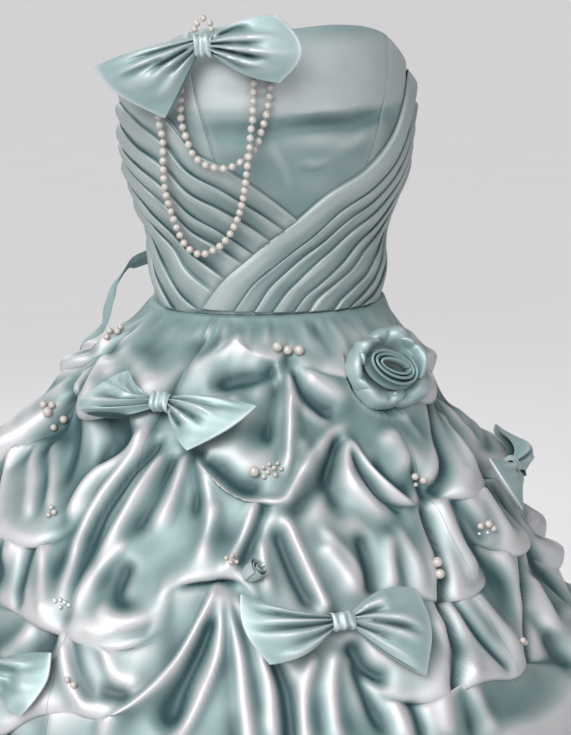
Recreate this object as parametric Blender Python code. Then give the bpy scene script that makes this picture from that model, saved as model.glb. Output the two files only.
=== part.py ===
"""Strapless ball gown with a pleated wrap bodice and a pick-up skirt.

Every cut piece is a thin closed wall at its real size. Metres, +Z up. The origin is the centre of the
waist, where the gown is held. The front faces -Y. Left and right are as seen from the front: left is -X.
Azimuth is in degrees round the waist: 0 at the centre front, positive towards +X, 180 at the centre back.
"""
import math
from collections import namedtuple

import bmesh
import bpy
import numpy as np
from mathutils import Vector
from mathutils.bvhtree import BVHTree

# ---------------------------------------------------------------- driving dimensions
WAIST_TO_HEM = 1.03          # height of the skirt
SATIN = 0.0015               # wall of the bodice and wraps
SKIRT_WALL = 0.0020          # outer skirt with its backing
RIBBON_WALL = 0.0010
SEAM_GAP = 0.0003            # pieces stay this far apart at a seam
PEARL = 0.0080               # diameter of a strung pearl
TACK_PEARL = 0.0105          # diameter of a pearl at a tack
RIBBON_WIDTH = 0.015
RIBBON_CLEARANCE = 0.007     # a tail hangs this far off the skirt
ROSE_WIDTH = 0.088

# Body of the bodice: height, half width, depth in front, depth behind, shift to +X
BODICE_FORM = (
    (0.000, 0.1185, 0.090, 0.080, 0.0),
    (0.035, 0.1195, 0.089, 0.079, 0.0),
    (0.065, 0.1165, 0.090, 0.080, 0.0),
    (0.100, 0.1270, 0.099, 0.085, 0.0),
    (0.130, 0.1370, 0.109, 0.091, 0.0),
    (0.170, 0.1420, 0.118, 0.095, 0.0),
    (0.210, 0.1425, 0.122, 0.099, 0.0),
    (0.250, 0.1410, 0.117, 0.100, 0.0),
    (0.290, 0.1380, 0.109, 0.100, 0.0),
)
BODICE_ROUNDNESS = 2.2
# Bell of the skirt before it is picked up, same columns
SKIRT_FORM = (
    (0.000, 0.1245, 0.0965, 0.0865, 0.000),
    (-0.030, 0.142, 0.118, 0.108, -0.006),
    (-0.060, 0.163, 0.146, 0.136, -0.014),
    (-0.110, 0.199, 0.188, 0.179, -0.024),
    (-0.150, 0.231, 0.223, 0.213, -0.030),
    (-0.200, 0.267, 0.261, 0.251, -0.034),
    (-0.280, 0.317, 0.313, 0.304, -0.036),
    (-0.400, 0.384, 0.384, 0.376, -0.030),
    (-0.600, 0.475, 0.475, 0.470, -0.020),
    (-0.800, 0.548, 0.548, 0.545, -0.010),
    (-1.030, 0.615, 0.615, 0.615, 0.000),
)
SKIRT_ROUNDNESS = 2.0

# Top edge of the bodice: azimuth from the centre front on either side, height
NECKLINE = ((0.0, 0.284), (28.0, 0.287), (42.0, 0.2835), (52.0, 0.276), (62.0, 0.260),
            (76.0, 0.243), (92.0, 0.232), (120.0, 0.216), (180.0, 0.202))
# Princess seam on either side: height, azimuth
PRINCESS_SEAM = ((0.0, 26.0), (0.06, 30.0), (0.16, 39.0), (0.20, 43.5), (0.25, 49.5), (0.28, 51.0))
SIDE_SEAM = 92.0
WAIST_ROWS = (0.100, 0.065, 0.035, SEAM_GAP)   # heights at which every bodice panel has a row

Tack = namedtuple("Tack", "azimuth height sag bulge")
# Pick-up tacks, one ring per row. Each swag runs to the next tack to the right and hangs by its sag.
TACK_ROWS = (
    (  # just under the waist
        Tack(-38.0, -0.072, 0.012, 0.012), Tack(1.5, -0.036, 0.020, 0.012), Tack(39.0, -0.060, 0.020, 0.029),
        Tack(74.0, -0.066, 0.022, 0.029), Tack(112.0, -0.060, 0.024, 0.026), Tack(150.0, -0.058, 0.022, 0.023),
        Tack(186.0, -0.066, 0.024, 0.026), Tack(222.0, -0.062, 0.024, 0.029), Tack(256.0, -0.056, 0.020, 0.032),
        Tack(284.0, -0.046, 0.026, 0.026),
    ),
    (  # upper swags
        Tack(-72.9, -0.118, 0.040, 0.038), Tack(-49.2, -0.180, 0.004, 0.026), Tack(-23.0, -0.118, 0.014, 0.032),
        Tack(-4.6, -0.138, -0.020, 0.026), Tack(37.4, -0.158, 0.012, 0.032), Tack(66.0, -0.165, 0.030, 0.043),
        Tack(98.0, -0.158, 0.036, 0.041), Tack(130.0, -0.166, 0.034, 0.038), Tack(162.0, -0.156, 0.036, 0.041),
        Tack(196.0, -0.166, 0.034, 0.038), Tack(228.0, -0.158, 0.036, 0.041), Tack(260.0, -0.152, 0.030, 0.041),
    ),
    (  # middle swags
        Tack(-39.0, -0.243, 0.030, 0.035), Tack(-10.5, -0.202, 0.016, 0.032), Tack(8.8, -0.244, 0.022, 0.035),
        Tack(31.3, -0.231, 0.022, 0.032), Tack(48.1, -0.216, 0.030, 0.038), Tack(82.0, -0.262, 0.036, 0.043),
        Tack(113.0, -0.254, 0.038, 0.041), Tack(146.0, -0.264, 0.036, 0.041), Tack(178.0, -0.256, 0.038, 0.043),
        Tack(210.0, -0.264, 0.036, 0.041), Tack(242.0, -0.256, 0.038, 0.043), Tack(274.0, -0.248, 0.034, 0.041),
        Tack(299.0, -0.262, 0.026, 0.029),
    ),
    (  # lower swags
        Tack(-34.8, -0.308, 0.030, 0.038), Tack(-11.0, -0.312, 0.038, 0.032), Tack(18.0, -0.318, 0.026, 0.038),
        Tack(44.3, -0.320, 0.034, 0.041), Tack(70.0, -0.352, 0.040, 0.043), Tack(98.0, -0.348, 0.042, 0.043),
        Tack(129.0, -0.358, 0.040, 0.043), Tack(161.0, -0.350, 0.042, 0.043), Tack(194.0, -0.358, 0.040, 0.043),
        Tack(226.0, -0.350, 0.042, 0.043), Tack(258.0, -0.344, 0.040, 0.043), Tack(290.0, -0.330, 0.036, 0.041),
        Tack(308.0, -0.322, 0.020, 0.035),
    ),
)
SWAG_RISE = (0.055, 0.080, 0.075, 0.080)      # how far up each row's puff begins
UNDER_TURN = 0.020                           # height in which a puff turns back under its lower edge
PIT_DEPTH = 0.016
PIT_RADIUS = 0.030
FAN_RIDGES = 6                               # folds that radiate from a tack
FAN_HEIGHT = 0.0065
FAN_REACH = 0.050
FLUTE_COUNT = 15                             # folds that run down to the hem
FLUTE_DEPTH = 0.026

SKIRT_COLUMNS = 76
SKIRT_ROWS = (0.0, 0.013, 0.028, 0.045, 0.064, 0.084, 0.104, 0.124, 0.144, 0.164, 0.185, 0.206, 0.228, 0.251,
              0.275, 0.300, 0.326, 0.354, 0.386, 0.440, 0.540, 0.680, 0.840, 1.0)
# First and last column of each gore
SKIRT_GORES = (("skirt_front", -8, 8), ("skirt_side_right", 8, 23), ("skirt_back_right", 23, 38),
               ("skirt_back_left", 38, 53), ("skirt_side_left", 53, 68))

# Pleated wraps. Station 0 is the front end, 1 the side, 2 the centre back.
WrapEdge = namedtuple("WrapEdge", "station azimuth height")
WRAP_LEFT_TOP = tuple(WrapEdge(*row) for row in (
    (0.0, 5.0, 0.1005), (0.24, -18.1, 0.136), (0.35, -29.0, 0.152), (0.50, -43.9, 0.171), (0.60, -53.0, 0.196),
    (0.77, -69.3, 0.215), (1.0, -92.0, 0.226), (1.4, -126.0, 0.210), (2.0, -177.2, 0.197)))
WRAP_LEFT_FOOT = tuple(WrapEdge(*row) for row in (
    (0.0, -46.0, 0.0150), (0.5, -67.0, 0.0040), (1.0, -92.0, 0.0008), (1.4, -126.0, 0.0008), (2.0, -177.2, 0.0008)))
WRAP_RIGHT_TOP = tuple(WrapEdge(*row) for row in (
    (0.0, -48.5, 0.0060), (0.08, -37.5, 0.0345), (0.18, -23.5, 0.0573), (0.28, -8.8, 0.0780), (0.39, 5.6, 0.0970),
    (0.50, 21.8, 0.1260), (0.64, 40.6, 0.1547), (0.69, 47.3, 0.1832), (0.75, 56.5, 0.2159), (0.83, 67.5, 0.2380),
    (1.0, 92.0, 0.2270), (1.4, 126.0, 0.2100), (2.0, 177.2, 0.1970)))
WRAP_RIGHT_FOOT = tuple(WrapEdge(*row) for row in (
    (0.0, 60.0, 0.0008), (0.5, 75.0, 0.0008), (1.0, 92.0, 0.0008), (1.4, 126.0, 0.0008), (2.0, 177.2, 0.0008)))
WRAP_STATIONS = (0.0, 0.14, 0.28, 0.42, 0.56, 0.67, 0.77, 0.87, 1.0, 1.25, 1.5, 1.75, 2.0)
PLEATS = 9
WRAP_MARGIN = 0.0030          # the under wrap stops this far above the over wrap's edge
FACET_ROOM = 0.0016           # room for flat facets between two layers
BACK_ROOM = 0.0016            # more of it behind, where the facets are wider
PLEAT_HEIGHT = 0.0042
SIDE_PUFF = 0.0050            # the pleats stand away from the body where they turn round the side
PLEAT_PROFILE = ((0.0, 1.0), (0.5, 0.62), (0.88, 0.05))      # place in the pleat, share of its height

# Bows: corners of each loop from the knot, in metres to the right and up along the cloth
BowLoop = namedtuple("BowLoop", "side upper lower bulge puff")
Bow = namedtuple("Bow", "name azimuth height lift knot_width knot_height loops")
BOWS = (
    Bow("bow_top", -38.8, 0.272, 0.016, 0.020, 0.030, (
        BowLoop("left", (-0.112, -0.016), (-0.046, -0.078), 0.012, 0.022),
        BowLoop("right", (0.066, 0.032), (0.086, -0.050), 0.018, 0.022))),
    Bow("bow_hip", -38.0, -0.074, 0.016, 0.020, 0.020, (
        BowLoop("left", (-0.078, 0.024), (-0.084, -0.022), 0.006, 0.012),
        BowLoop("right", (0.086, -0.006), (0.030, -0.046), 0.008, 0.012))),
    Bow("bow_low", 8.8, -0.246, 0.018, 0.022, 0.018, (
        BowLoop("left", (-0.090, 0.036), (-0.074, -0.030), 0.010, 0.014),
        BowLoop("right", (0.078, 0.022), (0.070, -0.058), 0.010, 0.014))),
    Bow("bow_side", 73.0, -0.182, 0.026, 0.020, 0.018, (
        BowLoop("left", (-0.070, 0.034), (-0.064, -0.030), 0.010, 0.014),
        BowLoop("right", (0.072, 0.030), (0.062, -0.034), 0.010, 0.014))),
    Bow("bow_far", -50.0, -0.306, 0.020, 0.020, 0.018, (
        BowLoop("left", (-0.074, 0.030), (-0.068, -0.034), 0.010, 0.014),
        BowLoop("right", (0.068, 0.028), (0.060, -0.034), 0.010, 0.014))),
)

ROSE_PLACE = (38.9, -0.0585)
PEARL_STRINGS = (  # name, azimuth, height, pearls, diameter, direction in degrees from +X along the cloth
    ("pearl_row", 1.5, -0.0345, 3, TACK_PEARL, -12.0),
    ("pearl_spray", -4.6, -0.1345, 2, TACK_PEARL, 20.0),
    ("pearl_far_left", -72.9, -0.115, 1, 0.0125, 0.0),
    ("pearl_right_upper", 37.4, -0.157, 2, PEARL, 15.0),
    ("pearl_right_edge", 48.1, -0.214, 3, PEARL, 20.0),
    ("pearl_right_lower", 31.3, -0.229, 2, TACK_PEARL, 80.0),
    ("pearl_side_cluster", -80.3, -0.0385, 3, PEARL, 85.0),
)
# Pearl strands over the bodice. The long one passes over the short one where they cross.
StrandPoint = namedtuple("StrandPoint", "azimuth height over")
STRAND_SHORT = tuple(StrandPoint(*row) for row in (
    (-47.5, 0.2400, 0.0), (-46.4, 0.2216, 0.0), (-45.9, 0.1958, 0.001), (-43.7, 0.1805, 0.0015), (-40.6, 0.1651, 0.0),
    (-35.0, 0.1556, 0.0), (-27.6, 0.1530, 0.0), (-20.8, 0.1601, 0.0), (-15.3, 0.1730, 0.0), (-12.8, 0.1895, 0.0),
    (-10.4, 0.2069, 0.0), (-8.4, 0.2369, 0.0), (-8.2, 0.2440, 0.0)))
STRAND_LONG = tuple(StrandPoint(*row) for row in (
    (-54.2, 0.2050, 0.0060), (-53.6, 0.1958, 0.0085), (-53.2, 0.1604, 0.0), (-54.2, 0.1250, 0.0), (-54.1, 0.0990, 0.0),
    (-51.8, 0.0733, 0.0), (-45.6, 0.0637, 0.0), (-40.6, 0.0653, 0.0), (-32.2, 0.0764, 0.0), (-24.8, 0.0996, 0.0),
    (-20.2, 0.1279, 0.004), (-17.6, 0.1641, 0.0090), (-16.9, 0.1876, 0.0090), (-16.2, 0.2040, 0.004),
    (-15.9, 0.2427, 0.0), (-15.8, 0.2470, 0.0)))
# Ribbon tails: x, y, z of the middle of the ribbon
TAIL_LEFT = ((-0.010, 0.1010, 0.030), (-0.050, 0.1000, 0.034), (-0.096, 0.0800, 0.036), (-0.134, 0.0560, 0.030),
             (-0.150, 0.0600, 0.012), (-0.159, 0.0680, -0.012), (-0.166, 0.0800, -0.040), (-0.174, 0.0940, -0.066),
             (-0.190, 0.1140, -0.104), (-0.208, 0.1320, -0.142))
TAIL_RIGHT = ((0.004, 0.1010, 0.018), (0.012, 0.1160, 0.000), (0.020, 0.1440, -0.030), (0.028, 0.1760, -0.064),
              (0.036, 0.2120, -0.100), (0.044, 0.2520, -0.140), (0.050, 0.2900, -0.182))

SHARP_EDGE = math.radians(60)
AQUA = (0.44, 0.60, 0.59)
CREAM = (0.86, 0.80, 0.76)


# ---------------------------------------------------------------- numbers
def through(table, position, column=1):
    """Smooth curve through one column of a table whose first column rises or falls."""
    rows = sorted(table)
    xs = np.array([row[0] for row in rows], float)
    ys = np.array([row[column] for row in rows], float)
    slopes = np.gradient(ys, xs)
    x = np.clip(position, xs[0], xs[-1])
    k = np.clip(np.searchsorted(xs, x, side="right") - 1, 0, len(xs) - 2)
    width = xs[k + 1] - xs[k]
    t = (x - xs[k]) / width
    return ((2 * t ** 3 - 3 * t ** 2 + 1) * ys[k] + (t ** 3 - 2 * t ** 2 + t) * width * slopes[k]
            + (3 * t ** 2 - 2 * t ** 3) * ys[k + 1] + (t ** 3 - t ** 2) * width * slopes[k + 1])


def smooth_step(x):
    """0 below 0, 1 above 1, smooth between."""
    t = np.clip(x, 0.0, 1.0)
    return t * t * (3 - 2 * t)


def around(degrees_apart):
    """An angle difference in degrees, brought to -180..180."""
    return (degrees_apart + 180.0) % 360.0 - 180.0


# ---------------------------------------------------------------- the form under the cloth
def form_radius(table, roundness, azimuth, height):
    """Distance from the axis to the form's surface."""
    side = np.sin(np.radians(azimuth))
    front = np.cos(np.radians(azimuth))
    half = through(table, height, 1)
    depth = np.where(front > 0, through(table, height, 2), through(table, height, 3))
    return (np.abs(side / half) ** roundness + np.abs(front / depth) ** roundness) ** (-1 / roundness)


def polar_point(shift, azimuth, radius, height):
    """Point at an azimuth, a distance from the axis and a height."""
    a = np.radians(azimuth)
    return np.stack(np.broadcast_arrays(shift + radius * np.sin(a), -radius * np.cos(a), height), axis=-1)


def bodice_point(azimuth, height, proud=0.0):
    """Point on the bodice, moved out by proud."""
    azimuth, height = np.asarray(azimuth, float), np.asarray(height, float)
    radius = form_radius(BODICE_FORM, BODICE_ROUNDNESS, azimuth, height) + proud
    return polar_point(0.0, azimuth, radius, height)


def pick_ups(azimuth, height):
    """How far the picked-up cloth stands out from the skirt's bell."""
    out = np.zeros(np.broadcast(azimuth, height).shape)
    radius = form_radius(SKIRT_FORM, SKIRT_ROUNDNESS, azimuth, height)
    for row, rise in zip(TACK_ROWS, SWAG_RISE):
        for left, right in zip(row, row[1:] + row[:1]):
            span = (right.azimuth - left.azimuth) % 360.0
            t = ((azimuth - left.azimuth) % 360.0) / span
            inside = t <= 1.0
            t = np.where(inside, t, 0.0)
            edge = left.height + (right.height - left.height) * t - left.sag * 4 * t * (1 - t)
            up = (height - edge) / rise
            puff = np.where(up > 0, 1 - smooth_step(up), np.exp(-(up * rise / UNDER_TURN) ** 2))
            out += np.where(inside, left.bulge * np.sin(math.pi * t) ** 0.7 * puff, 0.0)
            across = radius * np.radians(around(azimuth - left.azimuth))
            along = height - left.height
            reach = np.hypot(across, along)
            turn = np.arctan2(along, across)
            out -= PIT_DEPTH * np.exp(-(reach / PIT_RADIUS) ** 2)
            ripple = np.cos(FAN_RIDGES * turn + left.azimuth)
            out += FAN_HEIGHT * (reach / FAN_REACH) * np.exp(1 - reach / FAN_REACH) * ripple
    fall = smooth_step((-height - 0.36) / 0.5)
    flutes = np.cos(np.radians(FLUTE_COUNT * azimuth + 40 * np.sin(np.radians(2 * azimuth))))
    return out * smooth_step(-height / 0.035) + FLUTE_DEPTH * fall * flutes


def skirt_radius(azimuth, height):
    """Distance from the shifted axis to the skirt's outer face."""
    return form_radius(SKIRT_FORM, SKIRT_ROUNDNESS, azimuth, height) + pick_ups(azimuth, height)


def skirt_point(azimuth, height, proud=0.0):
    """Point on the skirt's outer face, moved out by proud."""
    azimuth, height = np.asarray(azimuth, float), np.asarray(height, float)
    shift = through(SKIRT_FORM, height, 4)
    return polar_point(shift, azimuth, skirt_radius(azimuth, height) + proud, height)


class ClothBelow:
    """The faceted face of the cloth that a trim lies on."""

    def __init__(self, grid):
        """Keep the triangles of a closed ring of outer points."""
        rows, columns = grid.shape[:2]
        index = np.arange(rows * columns).reshape(rows, columns)
        faces = []
        for i in range(rows - 1):
            for j in range(columns):
                k = (j + 1) % columns
                faces.append((index[i, j], index[i + 1, j], index[i + 1, k]))
                faces.append((index[i, j], index[i + 1, k], index[i, k]))
        self.tree = BVHTree.FromPolygons([Vector(p) for p in grid.reshape(-1, 3)], faces)

    def clear(self, point, clearance):
        """The point, moved out from the axis until it is clear of the cloth."""
        shift = float(through(SKIRT_FORM, min(point[2], 0.0), 4))
        level = Vector((point[0] - shift, point[1], 0.0))
        radius = level.length
        level.normalize()
        origin = Vector((shift, 0.0, point[2])) + level * 2.0
        hit = self.tree.ray_cast(origin, -level)[0]
        if hit is None:
            return np.array(point)
        needed = math.hypot(hit.x - shift, hit.y) + clearance
        grown = max(radius, needed)
        return np.array((shift + level.x * grown, level.y * grown, point[2]))


def clear_of_bodice(point, clearance):
    """The point, moved out from the axis until it is clear of the bodice."""
    height = min(max(point[2], 0.0), 0.29)
    azimuth = math.degrees(math.atan2(point[0], -point[1]))
    needed = float(form_radius(BODICE_FORM, BODICE_ROUNDNESS, np.float64(azimuth), np.float64(height))) + clearance
    grow = max(1.0, needed / math.hypot(point[0], point[1]))
    return np.array([point[0] * grow, point[1] * grow, point[2]])


# ---------------------------------------------------------------- meshes
def material(name, colour, roughness, metallic=0.0):
    """A plain finish, made once."""
    found = bpy.data.materials.get(name)
    if found:
        return found
    finish = bpy.data.materials.new(name)
    finish.use_nodes = True
    shader = finish.node_tree.nodes["Principled BSDF"]
    shader.inputs["Base Color"].default_value = (*colour, 1.0)
    shader.inputs["Roughness"].default_value = roughness
    shader.inputs["Metallic"].default_value = metallic
    return finish


def satin():
    """The gown's satin."""
    return material("satin", AQUA, 0.32)


def pearl_finish():
    """The pearls' lustre."""
    return material("pearl", CREAM, 0.25)


def finish_object(name, bm, finish):
    """Turn a closed bmesh into a named object with outward faces."""
    bmesh.ops.recalc_face_normals(bm, faces=bm.faces)
    mesh = bpy.data.meshes.new(name)
    bm.to_mesh(mesh)
    bm.free()
    mesh.shade_smooth()
    mesh.set_sharp_from_angle(angle=SHARP_EDGE)
    mesh.materials.append(finish)
    piece = bpy.data.objects.new(name, mesh)
    bpy.context.scene.collection.objects.link(piece)
    return piece


def grid_normals(points):
    """Unit normals of a grid of points whose rows run down and whose columns run to the right."""
    down = np.gradient(points, axis=0)
    right = np.gradient(points, axis=1)
    normals = np.cross(down, right)
    return normals / np.linalg.norm(normals, axis=2, keepdims=True)


def wall(name, outer, thickness, finish, normals=None):
    """Closed wall: the outer grid, the same grid moved in along its normals, and the four rims."""
    outer = np.asarray(outer, float)
    normals = grid_normals(outer) if normals is None else normals
    inner = outer - normals * thickness
    rows, columns = outer.shape[:2]
    bm = bmesh.new()
    faces = [[[bm.verts.new(p) for p in row] for row in side] for side in (outer, inner)]
    front, back = faces
    for i in range(rows - 1):
        for j in range(columns - 1):
            bm.faces.new((front[i][j], front[i + 1][j], front[i + 1][j + 1]))
            bm.faces.new((front[i][j], front[i + 1][j + 1], front[i][j + 1]))
            bm.faces.new((back[i][j], back[i + 1][j + 1], back[i + 1][j]))
            bm.faces.new((back[i][j], back[i][j + 1], back[i + 1][j + 1]))
    for i in range(rows - 1):
        bm.faces.new((front[i][0], back[i][0], back[i + 1][0], front[i + 1][0]))
        bm.faces.new((front[i][-1], front[i + 1][-1], back[i + 1][-1], back[i][-1]))
    for j in range(columns - 1):
        bm.faces.new((front[0][j], front[0][j + 1], back[0][j + 1], back[0][j]))
        bm.faces.new((front[-1][j], back[-1][j], back[-1][j + 1], front[-1][j + 1]))
    return finish_object(name, bm, finish)


def turned(name, centres, radii, across, up, sides, finish):
    """Closed round body: a ring of a given radius about each centre, with a point at each end."""
    bm = bmesh.new()
    rings = []
    for centre, radius in zip(centres, radii):
        angles = [math.tau * k / sides for k in range(sides)]
        rings.append([bm.verts.new(centre + radius * (math.cos(a) * across + math.sin(a) * up)) for a in angles])
    for here, there in zip(rings, rings[1:]):
        for k in range(sides):
            bm.faces.new((here[k], here[(k + 1) % sides], there[(k + 1) % sides], there[k]))
    bm.faces.new(rings[0])
    bm.faces.new(rings[-1])
    return finish_object(name, bm, finish)


def surface_axes(point_at, azimuth, height):
    """Place, rightward, upward and outward directions of a surface at a spot."""
    step = 1.5
    rise = 0.02
    place = point_at(azimuth, height)
    right = point_at(azimuth + step, height) - point_at(azimuth - step, height)
    right /= np.linalg.norm(right)
    up = point_at(azimuth, height + rise) - point_at(azimuth, height - rise)
    up -= right * up.dot(right)
    up /= np.linalg.norm(up)
    return place, right, up, np.cross(right, up)


def bell_point(azimuth, height):
    """Point on the skirt's bell before it is picked up."""
    azimuth, height = np.asarray(azimuth, float), np.asarray(height, float)
    shift = through(SKIRT_FORM, height, 4)
    return polar_point(shift, azimuth, form_radius(SKIRT_FORM, SKIRT_ROUNDNESS, azimuth, height), height)


# ---------------------------------------------------------------- bodice
def neckline(azimuth):
    """Height of the bodice's top edge."""
    return through(NECKLINE, np.abs(around(azimuth)))


def bodice_rows(top):
    """Heights of a panel's rows, from its top edge down through the hollow of the waist."""
    upper = [WAIST_ROWS[0] + (top - WAIST_ROWS[0]) * share for share in (1.0, 0.68, 0.34)]
    return upper + list(WAIST_ROWS)


def bodice_panel(name, left_seam, right_seam, columns):
    """One bodice panel between two seams, each a function of height."""
    rows = len(bodice_rows(0.2))
    points = np.zeros((rows, columns, 3))
    normals = np.zeros((rows, columns, 3))
    for i in range(rows):
        for j in range(columns):
            across = j / (columns - 1)
            height = 0.1
            for _ in range(4):      # the top edge and the seam meet where both agree
                azimuth = left_seam(height) + (right_seam(height) - left_seam(height)) * across
                top = float(neckline(azimuth))
                height = bodice_rows(top)[i]
            points[i, j] = bodice_point(azimuth, height)
            normals[i, j] = surface_axes(bodice_point, azimuth, height)[3]
    shift_edges(points)
    wall(name, points, SATIN, satin(), normals)


def shift_edges(points):
    """Pull both side edges of a grid in by half a seam gap."""
    for edge, inward in ((0, 1), (-1, -2)):
        toward = points[:, inward] - points[:, edge]
        points[:, edge] += toward / np.linalg.norm(toward, axis=1, keepdims=True) * SEAM_GAP / 2


def build_bodice():
    """Centre front, side fronts and backs."""
    def princess(side):
        return lambda height: side * float(through(PRINCESS_SEAM, height))

    def fixed(azimuth):
        return lambda height: azimuth

    bodice_panel("bodice_center_front", princess(-1), princess(1), 11)
    bodice_panel("bodice_side_front_left", fixed(-SIDE_SEAM), princess(-1), 5)
    bodice_panel("bodice_side_front_right", princess(1), fixed(SIDE_SEAM), 5)
    bodice_panel("bodice_back_left", fixed(-180.0), fixed(-SIDE_SEAM), 7)
    bodice_panel("bodice_back_right", fixed(SIDE_SEAM), fixed(180.0), 7)


def wrap_point(top, foot, across, station, proud, raised):
    """Point of a wrap: across runs from its top edge to its foot."""
    azimuth = (1 - across) * through(top, station, 1) + across * through(foot, station, 1)
    height = (1 - across) * through(top, station, 2) + across * through(foot, station, 2)
    return bodice_point(azimuth, height + raised, proud)


def wrap_grid(top, foot, base, raise_by):
    """Outer grid of a pleated wrap, a row for each fold line and a column for each station."""
    folds = [(k + place) / PLEATS for k in range(PLEATS) for place, _ in PLEAT_PROFILE] + [1.0]
    shares = [share for _ in range(PLEATS) for _, share in PLEAT_PROFILE] + [0.3]
    points = np.zeros((len(folds), len(WRAP_STATIONS), 3))
    for i, (across, share) in enumerate(zip(folds, shares)):
        for j, station in enumerate(WRAP_STATIONS):
            side_puff = math.exp(-((station - 0.95) / 0.22) ** 2) * (1 - across) ** 0.8
            flat = 0.45 if station > 1.3 else 1.0
            room = BACK_ROOM * min(1.0, max(0.0, station - 0.8) / 0.2)
            fold = PLEAT_HEIGHT * share * flat * (1 + 0.5 * side_puff)
            proud = base + room + SIDE_PUFF * side_puff + fold
            points[i, j] = wrap_point(top, foot, across, station, proud, raise_by(across, station))
    return points


def tuck_under(across, station):
    """How far the under wrap's front end is raised, so that it stops along the over wrap's edge."""
    edge = tuple((row.azimuth, row.height) for row in WRAP_RIGHT_TOP)
    azimuth = (1 - across) * WRAP_LEFT_TOP[0].azimuth + across * WRAP_LEFT_FOOT[0].azimuth
    height = (1 - across) * WRAP_LEFT_TOP[0].height + across * WRAP_LEFT_FOOT[0].height
    return (float(through(edge, azimuth)) + WRAP_MARGIN - height) * max(0.0, 1 - station / 0.5) ** 2


def build_wraps():
    """The under wrap from the left and the over wrap from the right."""
    base = SATIN + SEAM_GAP + FACET_ROOM
    left = wrap_grid(WRAP_LEFT_TOP, WRAP_LEFT_FOOT, base, tuck_under)[:, ::-1]
    wall("wrap_left", left, SATIN, satin())
    wall("wrap_right", wrap_grid(WRAP_RIGHT_TOP, WRAP_RIGHT_FOOT, base, lambda across, station: 0.0), SATIN, satin())


# ---------------------------------------------------------------- skirt
def build_skirt():
    """Five gores cut from one picked-up surface, and the cloth that trims lie on."""
    azimuth = np.arange(SKIRT_COLUMNS) * 360.0 / SKIRT_COLUMNS
    height = -SEAM_GAP - np.array(SKIRT_ROWS) * (WAIST_TO_HEM - SEAM_GAP)
    ring = skirt_point(azimuth[None, :], height[:, None])
    tripled = np.concatenate((ring, ring, ring), axis=1)
    normals = grid_normals(tripled)
    for name, start, end in SKIRT_GORES:
        columns = slice(SKIRT_COLUMNS + start, SKIRT_COLUMNS + end + 1)
        outer = tripled[:, columns].copy()
        along = np.gradient(tripled, axis=1)[:, columns]
        along /= np.linalg.norm(along, axis=2, keepdims=True)
        outer[:, 0] += along[:, 0] * SEAM_GAP / 2
        outer[:, -1] -= along[:, -1] * SEAM_GAP / 2
        wall(name, outer, SKIRT_WALL, satin(), normals[:, columns])
    return ClothBelow(ring)


# ---------------------------------------------------------------- bows
def bow_frame(bow):
    """Place and directions of a bow's knot."""
    point_at = bodice_point if bow.height > 0 else bell_point
    place, right, up, out = surface_axes(point_at, bow.azimuth, bow.height)
    if bow.height > 0:      # the neckline bow stands upright
        up = np.array((0.0, 0.0, 1.0))
        out = np.cross(right, up)
    return place + out * bow.lift, right, up, out


def loop_grid(bow, loop, clear, rows=6, columns=5):
    """A bow loop: a strip that leaves the knot, turns at its outer edge and comes back behind."""
    origin, right, up, out = bow_frame(bow)
    side = -1 if loop.side == "left" else 1
    knot_edge = side * (bow.knot_width / 2 + 0.0006)
    layers = []
    for back in (False, True):
        layer = np.zeros((rows, columns, 3))
        for i in range(rows):
            t = i / (rows - 1)
            corner = np.array(loop.upper) * (1 - t) + np.array(loop.lower) * t
            corner = corner + np.array((side, 0.0)) * loop.bulge * math.sin(math.pi * t)
            start = np.array((knot_edge, bow.knot_height * (0.36 - 0.72 * t)))
            for j in range(columns):
                s = j / (columns - 1)
                flat = start * (1 - s) + corner * s
                puff = loop.puff * math.sin(math.pi * (0.12 + 0.80 * s)) * (0.35 + 0.65 * math.sin(math.pi * t))
                fold = 0.0045 * math.cos(math.tau * 1.5 * t + 0.6) * math.sin(math.pi * min(1.0, s * 1.4))
                lift = 0.003 if back else 0.007 + puff + fold * (1 - s)
                place = origin + right * flat[0] + up * flat[1]
                base = clear(place, 0.0055)
                layer[i, j] = base + out * lift
        layers.append(layer)
    front, behind = layers
    turn = (front[:, -1] + behind[:, -1]) / 2 + right * side * 0.004
    strip = np.concatenate((front, turn[:, None], behind[:, ::-1]), axis=1)
    return strip if side > 0 else strip[:, ::-1]


def build_bow(bow, skirt):
    """Two loops and the knot band of one bow."""
    clear = clear_of_bodice if bow.height > 0 else skirt.clear
    for loop in bow.loops:
        strip = loop_grid(bow, loop, clear)
        wall(f"{bow.name}_loop_{loop.side}", strip, RIBBON_WALL, satin())
    origin, right, up, out = bow_frame(bow)
    centres, radii = [], []
    for k in range(5):
        t = k / 4 - 0.5
        centres.append(origin + out * 0.009 + up * bow.knot_height * t)
        radii.append(bow.knot_width / 2 * (0.86 + 0.14 * math.cos(math.tau * t)))
    turned(f"{bow.name}_knot", centres, radii, right, out * 0.8, 8, satin())


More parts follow.
